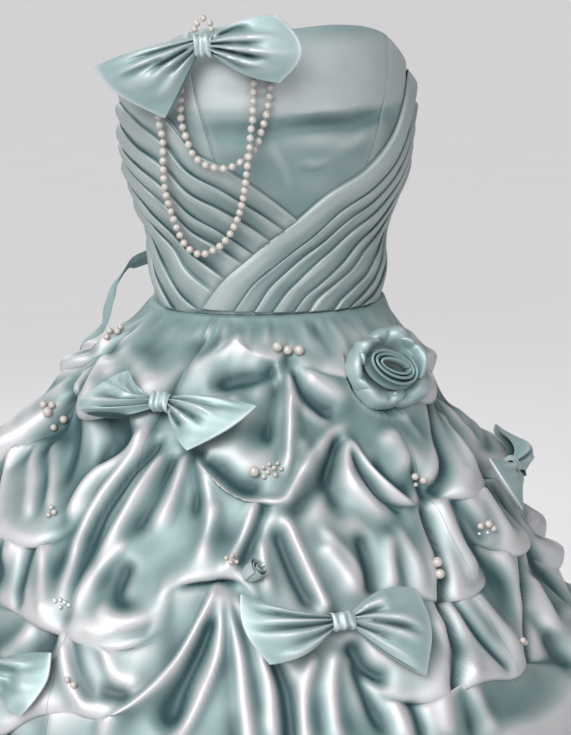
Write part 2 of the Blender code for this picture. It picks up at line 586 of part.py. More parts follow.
# ---------------------------------------------------------------- rose, bud and leaf
def build_rose(skirt):
    """A coiled ribbon heart inside overlapping outer petals."""
    origin, right, up, out = surface_axes(bell_point, *ROSE_PLACE)
    turns, steps = 2.25, 26
    heart = np.zeros((3, steps + 1, 3))
    for j in range(steps + 1):
        angle = math.tau * turns * j / steps
        radius = 0.0045 + 0.0085 * angle / math.tau
        spoke = math.cos(angle) * right * 1.12 + math.sin(angle) * up * 0.86
        for i in range(3):
            t = i / 2
            flare = radius * (1.0 + 0.20 * (1 - t))
            level = 0.034 - 0.022 * t - 0.004 * angle / math.tau * (1 - t)
            heart[i, j] = skirt.clear(origin + spoke * flare, 0.0) + out * level
    wall("rose_heart", heart, RIBBON_WALL, satin())
    half_turn = math.radians(42)
    for k in range(6):
        upper = k % 2 == 1
        centre = math.tau * k / 6 + 0.4
        inner, outer = (0.0290, 0.0385) if upper else (0.0310, ROSE_WIDTH / 2)
        petal = np.zeros((4, 6, 3))
        for j in range(6):
            bend = 2 * j / 5 - 1
            angle = centre + half_turn * bend
            spoke = math.cos(angle) * right * 1.04 + math.sin(angle) * up * 0.96
            swell = math.cos(half_turn * bend * 1.6)
            for i in range(4):
                t = i / 3
                reach = inner + (outer - inner) * t * (0.45 + 0.55 * swell)
                level = 0.004 + 0.014 * math.sin(math.pi * (0.15 + 0.75 * t)) * (0.5 + 0.5 * swell)
                level += 0.011 if upper else 0.0
                petal[i, j] = skirt.clear(origin + spoke * reach, 0.0) + out * level
        wall(f"rose_petal_{k + 1}", petal, RIBBON_WALL, satin())


# ---------------------------------------------------------------- pearls
def build_pearl_string(skirt, name, azimuth, height, count, diameter, direction):
    """Pearls in a row on one thread, fused by the thread between them."""
    origin, right, up, out = surface_axes(bell_point, azimuth, height)
    a = math.radians(direction)
    along = math.cos(a) * right + math.sin(a) * up
    across = math.cos(a) * up - math.sin(a) * right
    pitch = diameter + 0.0006
    stations = []
    for k in range(count):
        middle = (k - (count - 1) / 2) * pitch
        for step in range(5):
            angle = math.pi * (0.08 + 0.84 * step / 4)
            stations.append((middle - diameter / 2 * math.cos(angle), diameter / 2 * math.sin(angle)))
    room = 0.0
    for place, radius in stations:      # the whole string moves out until every pearl is clear
        spot = origin + along * place
        room = max(room, (skirt.clear(spot, radius + 0.0040) - spot).dot(out))
    centres = [origin + along * place + out * room for place, _ in stations]
    turned(name, centres, [radius for _, radius in stations], across, out, 6, pearl_finish())


def strand_route(table, count, low_lift, high_lift):
    """Points of a strand, lying on the bodice and out over the wraps."""
    lengths = np.linspace(0.0, 1.0, len(table))
    columns = [tuple((length, row[k]) for length, row in zip(lengths, table)) for k in range(3)]
    route = []
    for s in np.linspace(0.0, 1.0, count):
        azimuth, height, over = (float(through(column, s)) for column in columns)
        over_wrap = 1 - smooth_step((height - 0.150) / 0.040)
        route.append(bodice_point(azimuth, height, high_lift + (low_lift - high_lift) * over_wrap + over))
    return route


def build_strand(name, route):
    """A tube of one pearl's width along the strand."""
    data = bpy.data.curves.new(name, "CURVE")
    data.dimensions = "3D"
    spline = data.splines.new("POLY")
    spline.points.add(len(route) - 1)
    for point, place in zip(spline.points, route):
        point.co = (*place, 1.0)
    data.bevel_depth = PEARL / 2 - 0.0004
    data.bevel_resolution = 2
    data.use_fill_caps = True
    data.materials.append(pearl_finish())
    bpy.context.scene.collection.objects.link(bpy.data.objects.new(name, data))


# ---------------------------------------------------------------- ribbon tie
def ribbon(name, route, facing, clear=None):
    """A ribbon along a route; facing gives the outward side at each place, clear keeps it off the cloth."""
    route = np.array(route, float)
    steps = np.linspace(0.0, 1.0, 2 * len(route))
    keys = np.linspace(0.0, 1.0, len(route))
    line = np.stack([through(tuple(zip(keys, route[:, axis])), steps) for axis in range(3)], axis=1)
    along = np.gradient(line, axis=0)
    along /= np.linalg.norm(along, axis=1, keepdims=True)
    grid = np.zeros((3, len(line), 3))
    for j, (place, direction) in enumerate(zip(line, along)):
        out = facing(place)
        across = np.cross(direction, out)
        across /= np.linalg.norm(across)
        for i, share in enumerate((-0.5, 0.0, 0.5)):
            grid[i, j] = place + across * share * RIBBON_WIDTH
            if clear and grid[i, j, 2] < 0:
                grid[i, j] = clear(grid[i, j], RIBBON_CLEARANCE)
    wall(name, grid, RIBBON_WALL, satin())


def outward(place):
    """Level direction away from the axis."""
    direction = np.array((place[0], place[1], 0.0))
    return direction / np.linalg.norm(direction)


def build_ribbon_tie(skirt):
    """Band round the back waist, knot and two tails."""
    lift = 0.0115
    band = [bodice_point(azimuth, 0.034, lift) for azimuth in np.linspace(112.0, 248.0, 9)]
    ribbon("ribbon_band", band, outward)
    knot = bodice_point(180.0, 0.032, lift + 0.0085)
    right, up, out = np.array((-1.0, 0, 0)), np.array((0, 0, 1.0)), np.array((0, 1.0, 0))
    centres = [knot + up * 0.010 * (k / 2 - 1) for k in range(5)]
    turned("ribbon_knot", centres, [0.0062, 0.0076, 0.0080, 0.0076, 0.0062], right, out, 8, satin())
    for name, route in (("ribbon_tail_left", TAIL_LEFT), ("ribbon_tail_right", TAIL_RIGHT)):
        ribbon(name, route, outward, skirt.clear)


# ---------------------------------------------------------------- assembly
def main():
    """Empty the scene and build the gown."""
    for leftover in list(bpy.data.objects):
        bpy.data.objects.remove(leftover, do_unlink=True)
    build_bodice()
    build_wraps()
    skirt = build_skirt()
    for bow in BOWS:
        build_bow(bow, skirt)
    build_rose(skirt)
    for string in PEARL_STRINGS:
        build_pearl_string(skirt, *string)
    build_strand("strand_short", strand_route(STRAND_SHORT, 17, 0.0150, 0.0060))
    build_strand("strand_long", strand_route(STRAND_LONG, 25, 0.0160, 0.0062))
    build_ribbon_tie(skirt)


main()
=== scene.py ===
"""Looks of a strapless satin ball gown with a pleated wrap bodice and a picked-up skirt.

Every piece lies where its construction solid lies. Metres, +Z up, the front faces -Y. Left and right are
as seen from the front: left is -X. Azimuth is in degrees round the waist: 0 at the centre front, positive
towards +X, 180 at the centre back.
"""
from __future__ import annotations

import logging
import math
from collections.abc import Callable, Sequence
from dataclasses import dataclass, field
from enum import Enum

import bmesh
import bpy
import numpy as np
from mathutils import Matrix, Vector
from mathutils.bvhtree import BVHTree

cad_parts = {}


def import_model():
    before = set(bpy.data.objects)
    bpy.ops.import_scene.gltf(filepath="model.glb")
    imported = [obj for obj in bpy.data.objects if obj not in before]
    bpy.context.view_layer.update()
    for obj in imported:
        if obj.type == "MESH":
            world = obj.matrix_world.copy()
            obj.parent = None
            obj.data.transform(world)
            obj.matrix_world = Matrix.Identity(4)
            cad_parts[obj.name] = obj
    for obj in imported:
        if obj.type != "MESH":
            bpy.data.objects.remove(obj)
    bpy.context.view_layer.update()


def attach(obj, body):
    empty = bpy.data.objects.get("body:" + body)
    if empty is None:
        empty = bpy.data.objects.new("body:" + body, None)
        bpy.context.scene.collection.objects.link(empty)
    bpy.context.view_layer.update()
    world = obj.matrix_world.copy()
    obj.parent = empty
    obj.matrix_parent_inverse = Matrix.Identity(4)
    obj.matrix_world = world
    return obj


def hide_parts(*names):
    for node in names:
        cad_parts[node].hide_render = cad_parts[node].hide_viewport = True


LOG = logging.getLogger("gown")
BODY = "root"
SEAM_GAP = 0.0003
SEAM_LEVEL = 0.0008              # the wraps go into the waist seam here

Array = np.ndarray
Colour = tuple[float, float, float]


class Side(Enum):
    """Which side of the gown a piece is on, as seen from the front."""

    LEFT = -1
    RIGHT = 1


class Held(Enum):
    """How a sheet of cloth is held."""

    DRAPED = "draped"
    GATHERED = "gathered"
    FOLDED = "folded"
    STRETCHED = "stretched"


# ---------------------------------------------------------------- numbers
def smooth_through(xs: Sequence[float], ys: Sequence[float], position: Array | float) -> Array:
    """Smooth curve through points.

    Args:
        xs: Places of the points, rising.
        ys: Values at those places.
        position: Where the curve is read; it is held at both ends.

    Returns:
        The values of the curve.
    """
    xs, ys = np.asarray(xs, float), np.asarray(ys, float)
    slopes = np.gradient(ys, xs)
    x = np.clip(position, xs[0], xs[-1])
    k = np.clip(np.searchsorted(xs, x, side="right") - 1, 0, len(xs) - 2)
    width = xs[k + 1] - xs[k]
    t = (x - xs[k]) / width
    return ((2 * t ** 3 - 3 * t ** 2 + 1) * ys[k] + (t ** 3 - 2 * t ** 2 + t) * width * slopes[k]
            + (3 * t ** 2 - 2 * t ** 3) * ys[k + 1] + (t ** 3 - t ** 2) * width * slopes[k + 1])


def smooth_step(x: Array | float) -> Array:
    """0 below 0, 1 above 1, smooth between."""
    t = np.clip(x, 0.0, 1.0)
    return t * t * (3 - 2 * t)


def around(degrees_apart: Array | float) -> Array:
    """An angle difference in degrees, brought to -180..180."""
    return (np.asarray(degrees_apart) + 180.0) % 360.0 - 180.0


def unit(vectors: Array) -> Array:
    """Vectors scaled to length 1."""
    return vectors / np.maximum(np.linalg.norm(vectors, axis=-1, keepdims=True), 1e-12)


def grid_normals(points: Array) -> Array:
    """Unit normals of a grid whose rows run down and whose columns run to the right."""
    return unit(np.cross(np.gradient(points, axis=0), np.gradient(points, axis=1)))


def uneven(seed: float, *places: Array) -> Array:
    """A smooth uneven value between about -1 and 1, the same each run.

    Args:
        seed: Picks one pattern.
        places: Coordinates, in waves.

    Returns:
        The value at each place.
    """
    total = np.zeros(np.broadcast(*places).shape)
    for k, (turn, scale, share) in enumerate(((0.0, 1.0, 0.5), (1.1, 1.9, 0.3), (2.3, 3.1, 0.2))):
        phase = seed * (k + 1.7)
        mixed = sum(place * math.cos(turn + 1.3 * n) for n, place in enumerate(places))
        total = total + share * np.sin(math.tau * scale * mixed + phase)
    return total


# ---------------------------------------------------------------- forms under the cloth
@dataclass(frozen=True)
class Ring:
    """One level of a form: its height, half width, depths in front and behind, and shift to +X."""

    height: float
    half: float
    front: float
    back: float
    shift: float = 0.0


@dataclass(frozen=True)
class Form:
    """A round form given by its rings."""

    rings: tuple[Ring, ...]
    roundness: float

    def level(self, column: str, height: Array | float) -> Array:
        """One column of the table, read smoothly at a height."""
        rings = sorted(self.rings, key=lambda ring: ring.height)
        return smooth_through([r.height for r in rings], [getattr(r, column) for r in rings], height)

    def radius(self, azimuth: Array | float, height: Array | float) -> Array:
        """Distance from the axis to the form's surface."""
        side = np.sin(np.radians(azimuth))
        ahead = np.cos(np.radians(azimuth))
        depth = np.where(ahead > 0, self.level("front", height), self.level("back", height))
        power = self.roundness
        half = self.level("half", height)
        return (np.abs(side / half) ** power + np.abs(ahead / depth) ** power) ** (-1 / power)

    def point(self, azimuth: Array | float, height: Array | float, proud: Array | float = 0.0) -> Array:
        """Point on the form, moved out by proud."""
        azimuth, height = np.asarray(azimuth, float), np.asarray(height, float)
        return self.place(azimuth, self.radius(azimuth, height) + proud, height)

    def place(self, azimuth: Array, radius: Array, height: Array, level: Array | None = None) -> Array:
        """Point at an azimuth and a distance from the axis; level is its z where that isn't the height."""
        a = np.radians(azimuth)
        shift = self.level("shift", height)
        z = height if level is None else level
        return np.stack(np.broadcast_arrays(shift + radius * np.sin(a), -radius * np.cos(a), z), axis=-1)

    def axes(self, azimuth: float, height: float) -> tuple[Array, Array, Array, Array]:
        """Place, rightward, upward and outward directions at a spot."""
        step, rise = 1.5, 0.02
        here = self.point(azimuth, height)
        right = unit(self.point(azimuth + step, height) - self.point(azimuth - step, height))
        up = self.point(azimuth, height + rise) - self.point(azimuth, height - rise)
        up = unit(up - right * up.dot(right))
        return here, right, up, np.cross(right, up)


BODICE_FORM = Form(tuple(Ring(*row) for row in (
    (0.000, 0.1185, 0.090, 0.080), (0.035, 0.1195, 0.089, 0.079), (0.065, 0.1165, 0.090, 0.080),
    (0.100, 0.1270, 0.099, 0.085), (0.130, 0.1370, 0.109, 0.091), (0.170, 0.1420, 0.118, 0.095),
    (0.210, 0.1425, 0.122, 0.099), (0.250, 0.1410, 0.117, 0.100), (0.290, 0.1380, 0.109, 0.100))), 2.2)
SKIRT_FORM = Form(tuple(Ring(*row) for row in (
    (0.000, 0.1245, 0.0965, 0.0865, 0.000), (-0.030, 0.142, 0.118, 0.108, -0.006),
    (-0.060, 0.163, 0.146, 0.136, -0.014), (-0.110, 0.199, 0.188, 0.179, -0.024),
    (-0.150, 0.231, 0.223, 0.213, -0.030), (-0.200, 0.267, 0.261, 0.251, -0.034),
    (-0.280, 0.317, 0.313, 0.304, -0.036), (-0.400, 0.384, 0.384, 0.376, -0.030),
    (-0.600, 0.475, 0.475, 0.470, -0.020), (-0.800, 0.548, 0.548, 0.545, -0.010),
    (-1.030, 0.615, 0.615, 0.615, 0.000))), 2.0)


# ---------------------------------------------------------------- shader graphs
class Wire:
    """One socket of a shader graph that takes part in Python arithmetic."""

    def __init__(self, graph: Graph, socket: bpy.types.NodeSocket) -> None:
        """Keep the graph and the socket."""
        self.graph = graph
        self.socket = socket

    def _math(self, operation: str, first: Wire | float, second: Wire | float) -> Wire:
        """Add one Math node."""
        made = self.graph.node("ShaderNodeMath", {"operation": operation}, {0: first, 1: second})
        return Wire(self.graph, made.outputs[0])

    def __add__(self, other: Wire | float) -> Wire:
        """Sum."""
        return self._math("ADD", self, other)

    __radd__ = __add__

    def __mul__(self, other: Wire | float) -> Wire:
        """Product."""
        return self._math("MULTIPLY", self, other)

    __rmul__ = __mul__

    def __sub__(self, other: Wire | float) -> Wire:
        """Difference."""
        return self._math("SUBTRACT", self, other)

    def __rsub__(self, other: Wire | float) -> Wire:
        """Difference from a number."""
        return self._math("SUBTRACT", other, self)

    def __pow__(self, other: Wire | float) -> Wire:
        """Power."""
        return self._math("POWER", self, other)


class Graph:
    """A material's nodes."""

    def __init__(self, name: str) -> None:
        """Start a material with an empty graph and its shader and output."""
        self.material = bpy.data.materials.new(name)
        self.material.use_nodes = True
        self.tree = self.material.node_tree
        self.tree.nodes.clear()
        self.shader = self.node("ShaderNodeBsdfPrincipled")
        output = self.node("ShaderNodeOutputMaterial")
        self.tree.links.new(self.shader.outputs[0], output.inputs[0])

    def node(self, kind: str, settings: dict | None = None, inputs: dict | None = None) -> bpy.types.Node:
        """Add a node.

        Args:
            kind: The node's type.
            settings: Its own settings, set first; "stops" holds a ramp's (position, colour) pairs.
            inputs: Values or wires for its sockets, by name or number.

        Returns:
            The node.
        """
        made = self.tree.nodes.new(kind)
        for name, value in (settings or {}).items():
            if name == "stops":
                self._set_stops(made.color_ramp, value)
            else:
                setattr(made, name, value)
        for name, value in (inputs or {}).items():
            self.feed(made.inputs[name], value)
        return made

    @staticmethod
    def _set_stops(ramp: bpy.types.ColorRamp, stops: Sequence[tuple[float, Colour]]) -> None:
        """Give a ramp its stops."""
        while len(ramp.elements) < len(stops):
            ramp.elements.new(0.5)
        for element, (position, colour) in zip(ramp.elements, stops):
            element.position = position
            element.color = (*colour, 1.0)

    def feed(self, socket: bpy.types.NodeSocket, value: Wire | float | Sequence[float]) -> None:
        """Link a wire to a socket, or set the socket's value."""
        if isinstance(value, Wire):
            self.tree.links.new(value.socket, socket)
        else:
            socket.default_value = value

    def wire(self, node: bpy.types.Node, output: int | str = 0) -> Wire:
        """One output of a node."""
        return Wire(self, node.outputs[output])

    def mix(self, factor: Wire | float, first: Wire | Colour, second: Wire | Colour) -> Wire:
        """Mix two colours."""
        pair = [value if isinstance(value, Wire) else (*value, 1.0) for value in (first, second)]
        made = self.node("ShaderNodeMix", {"data_type": "RGBA"}, {0: factor, 6: pair[0], 7: pair[1]})
        return self.wire(made, 2)

    def attribute(self, name: str) -> Wire:
        """A number kept on the mesh's points."""
        return self.wire(self.node("ShaderNodeAttribute", {"attribute_name": name}), 2)

    def mapped(self, output: str, scale: Sequence[float]) -> Wire:
        """Object or UV coordinates, scaled."""
        coordinates = self.node("ShaderNodeTexCoord")
        made = self.node("ShaderNodeMapping", {}, {"Vector": self.wire(coordinates, output), "Scale": scale})
        return self.wire(made)

    def noise(self, place: Wire, scale: float, detail: float = 2.0) -> Wire:
        """Noise between 0 and 1."""
        made = self.node("ShaderNodeTexNoise", {}, {"Vector": place, "Scale": scale, "Detail": detail})
        return self.wire(made)

    def bump(self, height: Wire, strength: float, distance: float, below: Wire | None = None) -> Wire:
        """Bump from a height, on top of another bump."""
        inputs = {"Strength": strength, "Distance": distance, "Height": height}
        if below:
            inputs["Normal"] = below
        return self.wire(self.node("ShaderNodeBump", {}, inputs))

    def set(self, **inputs: Wire | float | Sequence[float]) -> bpy.types.Material:
        """Set the shader's sockets, with underscores for spaces, and return the material."""
        for name, value in inputs.items():
            socket = self.shader.inputs[name.replace("_", " ")]
            if isinstance(value, tuple) and len(value) == 3 and socket.type == "RGBA":
                value = (*value, 1.0)
            self.feed(socket, value)
        return self.material


@dataclass(frozen=True)
class Satin:
    """Liquid satin with fine threads along the cut; its colour carries a painted highlight on its crowns and painted
    shade in its folds.
    """

    name: str
    # Colour of the painted highlight on the crests.
    painted_highlight: Colour = (0.56, 0.565, 0.58)
    # Own colour of the satin, under the painted shade and painted highlight.
    body: Colour = (0.180, 0.280, 0.280)
    # Colour of the painted shade deep in the folds.
    painted_shade: Colour = (0.004, 0.055, 0.064)
    rough: float = 0.49
    thread: float = 0.00045
    crumple: float = 0.14

    def make(self) -> bpy.types.Material:
        """Build the material."""
        graph = Graph(self.name)
        depth = graph.attribute("depth")
        crest = graph.attribute("crest")
        place = graph.mapped("Object", (1.0, 1.0, 1.0))
        cloud = graph.noise(place, 7.0, 3.0)
        # Painted shade: the fold colour is mixed in by the depth attribute. Painted highlight: the pale colour is mixed
        # in by the crest attribute, with random cloud patches.
        base = graph.mix(depth, self.body, self.painted_shade)
        base = graph.mix(crest * 0.90 + (cloud - 0.5) * 0.5, base, self.painted_highlight)
        slub = graph.noise(graph.mapped("UV", (30.0, 1 / self.thread * 0.35, 1.0)), 1.0, 2.0)
        weave = graph.noise(graph.mapped("UV", (1 / self.thread, 0.25 / self.thread, 1.0)), 1.0, 1.0)
        rough = self.rough + 0.08 * slub + 0.12 * depth
        crumple = graph.noise(place, 30.0, 3.0)
        normal = graph.bump(crumple, self.crumple, 0.0012)
        normal = graph.bump(slub, 0.08, 0.0004, normal)
        normal = graph.bump(weave, 0.05, 0.0002, normal)
        return graph.set(Base_Color=base, Roughness=rough, Metallic=0.32 - 0.14 * depth, IOR=1.85,
                         Specular_Tint=(1.0, 0.93, 0.95), Sheen_Weight=0.05, Sheen_Roughness=0.4,
                         Sheen_Tint=(0.95, 0.90, 0.92), Normal=normal)


@dataclass(frozen=True)
class PearlFinish:
    """Cream lustre with a faint cloud."""

    name: str
    pale: Colour = (0.60, 0.55, 0.505)
    warm: Colour = (0.43, 0.38, 0.34)

    def make(self) -> bpy.types.Material:
        """Build the material."""
        graph = Graph(self.name)
        place = graph.mapped("Object", (1.0, 1.0, 1.0))
        cloud = graph.noise(place, 260.0, 3.0)
        dimple = graph.noise(place, 700.0, 2.0)
        return graph.set(Base_Color=graph.mix(cloud, self.pale, self.warm), Roughness=0.16 + 0.12 * cloud,
                         Coat_Weight=0.6, Coat_Roughness=0.08, IOR=1.6, Thin_Film_Thickness=380.0,
                         Normal=graph.bump(dimple, 0.10, 0.0003))


@dataclass(frozen=True)
class CrystalFinish:
    """Small clear glass bead."""

    name: str

    def make(self) -> bpy.types.Material:
        """Build the material."""
        graph = Graph(self.name)
        cloud = graph.noise(graph.mapped("Object", (1.0, 1.0, 1.0)), 500.0, 1.0)
        return graph.set(Base_Color=graph.mix(cloud, (0.72, 0.80, 0.80), (0.92, 0.90, 0.90)),
                         Roughness=0.05 + 0.1 * cloud, Metallic=0.55, IOR=1.9, Coat_Weight=1.0)


@dataclass(frozen=True)
class ThreadFinish:
    """Twisted sewing thread."""

    name: str
    colour: Colour = (0.42, 0.54, 0.53)

    def make(self) -> bpy.types.Material:
        """Build the material."""
        graph = Graph(self.name)
        twist = graph.noise(graph.mapped("Object", (1.0, 1.0, 1.0)), 2600.0, 1.0)
        dark = tuple(0.55 * c for c in self.colour)
        return graph.set(Base_Color=graph.mix(twist, dark, self.colour), Roughness=0.45 + 0.2 * twist,
                         Normal=graph.bump(twist, 0.5, 0.0002))


@dataclass(frozen=True)
class FloorFinish:
    """Pale matt floor."""

    name: str
    colour: Colour = (0.86, 0.86, 0.87)

    def make(self) -> bpy.types.Material:
        """Build the material."""
        graph = Graph(self.name)
        cloud = graph.noise(graph.mapped("Object", (1.0, 1.0, 1.0)), 3.0, 2.0)
        dark = tuple(0.97 * c for c in self.colour)
        return graph.set(Base_Color=graph.mix(cloud, dark, self.colour), Roughness=0.8)


@dataclass
class Wardrobe:
    """All finishes, made once."""

    bodice: bpy.types.Material = field(init=False)
    wrap: bpy.types.Material = field(init=False)
    skirt: bpy.types.Material = field(init=False)
    trim: bpy.types.Material = field(init=False)
    pearl: bpy.types.Material = field(init=False)
    crystal: bpy.types.Material = field(init=False)
    thread: bpy.types.Material = field(init=False)
    floor: bpy.types.Material = field(init=False)

    def __post_init__(self) -> None:
        """Build every finish."""
        self.bodice = Satin("bodice_satin", painted_highlight=(0.51, 0.54, 0.55), crumple=0.15).make()
        self.wrap = Satin("wrap_satin", painted_highlight=(0.34, 0.40, 0.40), body=(0.17, 0.25, 0.25), crumple=0.15).make()
        self.skirt = Satin("skirt_satin").make()
        self.trim = Satin("trim_satin", painted_highlight=(0.60, 0.66, 0.67), body=(0.26, 0.385, 0.39)).make()
        self.pearl = PearlFinish("pearl").make()
        self.crystal = CrystalFinish("crystal").make()
        self.thread = ThreadFinish("thread").make()
        self.floor = FloorFinish("floor").make()


# ---------------------------------------------------------------- meshes
def deselect() -> None:
    """Nothing is selected or active."""
    bpy.ops.object.select_all(action="DESELECT")
    bpy.context.view_layer.objects.active = None


def activate(piece: bpy.types.Object) -> None:
    """Select one object alone and make it active."""
    deselect()
    piece.select_set(True)
    bpy.context.view_layer.objects.active = piece


def apply_modifier(piece: bpy.types.Object, kind: str, **settings: float | int | bool | str) -> None:
    """Add a modifier with its settings and apply it."""
    activate(piece)
    modifier = piece.modifiers.new(kind.lower(), kind)
    for name, value in settings.items():
        setattr(modifier, name, value)
    bpy.ops.object.modifier_apply(modifier=modifier.name)


def blurred(values: Array, reach: int, closed: bool) -> Array:
    """Values of a grid, averaged over a square of neighbours.

    Args:
        values: Grid of points or numbers.
        reach: How many neighbours on each side.
        closed: Whether the columns run on round.

    Returns:
        The averaged grid.
    """
    out = values
    for axis, mode in ((0, "edge"), (1, "wrap" if closed else "edge")):
        pads = [(0, 0)] * out.ndim
        pads[axis] = (reach, reach)
        padded = np.pad(out, pads, mode=mode)
        sums = np.cumsum(padded, axis=axis)
        zero = np.zeros_like(np.take(sums, [0], axis=axis))
        sums = np.concatenate((zero, sums), axis=axis)
        size = 2 * reach + 1
        count = out.shape[axis]
        high = np.take(sums, range(size, size + count), axis=axis)
        low = np.take(sums, range(0, count), axis=axis)
        out = (high - low) / size
    return out


def fold_depth(grid: Array, reach: int, full: float, closed: bool = False) -> tuple[Array, Array]:
    """How deep each point lies in a fold, and how far it stands on a crest, both from 0 to 1.

    Args:
        grid: The cloth's points.
        reach: Over how many points the cloth is averaged.
        full: Depth in metres that counts as 1.
        closed: Whether the columns run on round.

    Returns:
        The two grids.
    """
    normals = grid_normals(grid)
    level = ((blurred(grid, reach, closed) - grid) * normals).sum(axis=2)
    level = blurred(level, 1, closed)
    return np.clip(level / full, 0.0, 1.0), np.clip(-level / full, 0.0, 1.0)


def layered_depth(grid: Array, closed: bool = False) -> tuple[Array, Array]:
    """Depth in folds and height on crests, from narrow creases to broad hollows together."""
    depth, crest = np.zeros(grid.shape[:2]), np.zeros(grid.shape[:2])
    for reach, full, share in ((2, 0.0008, 0.40), (6, 0.0036, 0.60), (15, 0.0110, 0.70)):
        down, up = fold_depth(grid, reach, full, closed)
        depth, crest = depth + share * down, crest + share * up
    return np.clip(depth, 0.0, 1.0), np.clip(crest, 0.0, 1.0)


def rest_lengths(grid: Array) -> Array:
    """Coordinates in metres across and down a grid, as its own cloth measures."""
    across = np.linalg.norm(np.diff(grid, axis=1), axis=2)
    down = np.linalg.norm(np.diff(grid, axis=0), axis=2)
    u = np.concatenate((np.zeros((grid.shape[0], 1)), np.cumsum(across, axis=1)), axis=1)
    v = np.concatenate((np.zeros((1, grid.shape[1])), np.cumsum(down, axis=0)), axis=0)
    middle = u[:, -1:] / 2
    return np.stack((u - middle, -v), axis=-1)


@dataclass
class ClothPiece:
    """A sheet of cloth given by a grid of points, rows down and columns to the right."""

    name: str
    grid: Array
    thickness: float = 0.0008
    fold_reach: int = 6
    fold_full: float = 0.005
    # How deep in a fold and how high on a crest each point lies, from 0 to 1; the satin paints shade by the first and a
    # highlight by the second.
    depth: Array | None = None
    crest: Array | None = None
    cut: Array | None = None

    def build(self, finish: bpy.types.Material) -> bpy.types.Object:
        """Make the mesh with its measures, and give it its thickness."""
        rows, columns = self.grid.shape[:2]
        index = np.arange(rows * columns).reshape(rows, columns)
        faces = np.stack((index[:-1, :-1], index[1:, :-1], index[1:, 1:], index[:-1, 1:]), axis=-1).reshape(-1, 4)
        mesh = bpy.data.meshes.new(self.name)
        mesh.from_pydata(self.grid.reshape(-1, 3).tolist(), [], faces.tolist())
        cut = rest_lengths(self.grid) if self.cut is None else self.cut
        layer = mesh.uv_layers.new(name="cut")
        layer.data.foreach_set("uv", cut.reshape(-1, 2)[faces.reshape(-1)].reshape(-1).astype(np.float32))
        if self.depth is None:
            self.depth, self.crest = fold_depth(self.grid, self.fold_reach, self.fold_full)
        # These two drive the satin's painted shade and painted highlight.
        for name, values in (("depth", self.depth), ("crest", self.crest)):
            attribute = mesh.attributes.new(name, "FLOAT", "POINT")
            attribute.data.foreach_set("value", values.reshape(-1).astype(np.float32))
        mesh.shade_smooth()
        mesh.materials.append(finish)
        piece = bpy.data.objects.new(self.name, mesh)
        bpy.context.scene.collection.objects.link(piece)
        apply_modifier(piece, "SOLIDIFY", thickness=self.thickness, offset=-1.0, use_even_offset=False)
        activate(piece)
        bpy.ops.object.shade_smooth_by_angle(angle=math.radians(70))
        return piece


def surface_area(grid: Array) -> float:
    """Area of a grid's cloth."""
    down = grid[1:, :-1] - grid[:-1, :-1]
    right = grid[:-1, 1:] - grid[:-1, :-1]
    return float(np.linalg.norm(np.cross(down, right), axis=2).sum())


def declare_sheet(piece: bpy.types.Object, cut: Array | list[Array]) -> None:
    """State the cloth's cut.

    Args:
        piece: The sheet.
        cut: The grid of the cloth as it was cut, or the grids that it was cut in.
    """
    cuts = cut if isinstance(cut, list) else [cut]
    width = max(float(np.linalg.norm(np.diff(grid, axis=1), axis=2).sum(axis=1).max()) for grid in cuts)
    length = sum(float(np.linalg.norm(np.diff(grid, axis=0), axis=2).sum(axis=0).max()) for grid in cuts)
    area = min(sum(surface_area(grid) for grid in cuts), width * length)
    LOG.info("cut of %s: %.3f x %.3f m, %.4f m2", piece.name, width, length, area)


def joined(pieces: Sequence[bpy.types.Object]) -> bpy.types.Object:
    """Several pieces, joined into the first."""
    if len(pieces) > 1:
        activate(pieces[0])
        for piece in pieces:
            piece.select_set(True)
        bpy.ops.object.join()
    return pieces[0]


def dress(piece: bpy.types.Object, slot: str, *nodes: str) -> bpy.types.Object:
    """Let a piece ride on the gown and stand for its solids."""
    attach(piece, BODY)
    if nodes:
        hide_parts(*nodes)
    LOG.info("%s: %d faces", piece.name, len(piece.data.polygons) if piece.type == "MESH" else 0)
    return piece


@dataclass
class Template:
    """A small shape that is modelled once and repeated in joined meshes."""

    points: Array
    faces: list[list[int]]

    @classmethod
    def taken_from(cls, piece: bpy.types.Object) -> Template:
        """Keep an object's mesh and remove the object."""
        points = np.array([vertex.co for vertex in piece.data.vertices], float)
        faces = [list(face.vertices) for face in piece.data.polygons]
        bpy.data.objects.remove(piece, do_unlink=True)
        return cls(points, faces)

    def repeat(self, name: str, places: Sequence[tuple[Array, Array, float]],
               finish: bpy.types.Material) -> bpy.types.Object:
        """Join copies into one piece.

        Args:
            name: The piece's name.
            places: Centre, 3 x 3 axes in rows and scale of each copy.
            finish: The material.

        Returns:
            The joined piece.
        """
        points, faces = [], []
        for centre, axes, scale in places:
            start = len(points) * len(self.points)
            points.append(self.points @ axes * scale + centre)
            faces.extend([[start + k for k in face] for face in self.faces])
        mesh = bpy.data.meshes.new(name)
        mesh.from_pydata(np.concatenate(points).tolist(), [], faces)
        mesh.shade_smooth()
        mesh.materials.append(finish)
        piece = bpy.data.objects.new(name, mesh)
        bpy.context.scene.collection.objects.link(piece)
        activate(piece)
        bpy.ops.object.shade_smooth_by_angle(angle=math.radians(40))
        return piece


def turned_axes(azimuth: float, spin: float) -> Array:
    """Three axes in rows, turned about Z and then about the first."""
    a, b = math.radians(azimuth), math.radians(spin)
    first = np.array((math.cos(a), math.sin(a), 0.0))
    second = np.array((-math.sin(a) * math.cos(b), math.cos(a) * math.cos(b), math.sin(b)))
    return np.array((first, second, np.cross(first, second)))


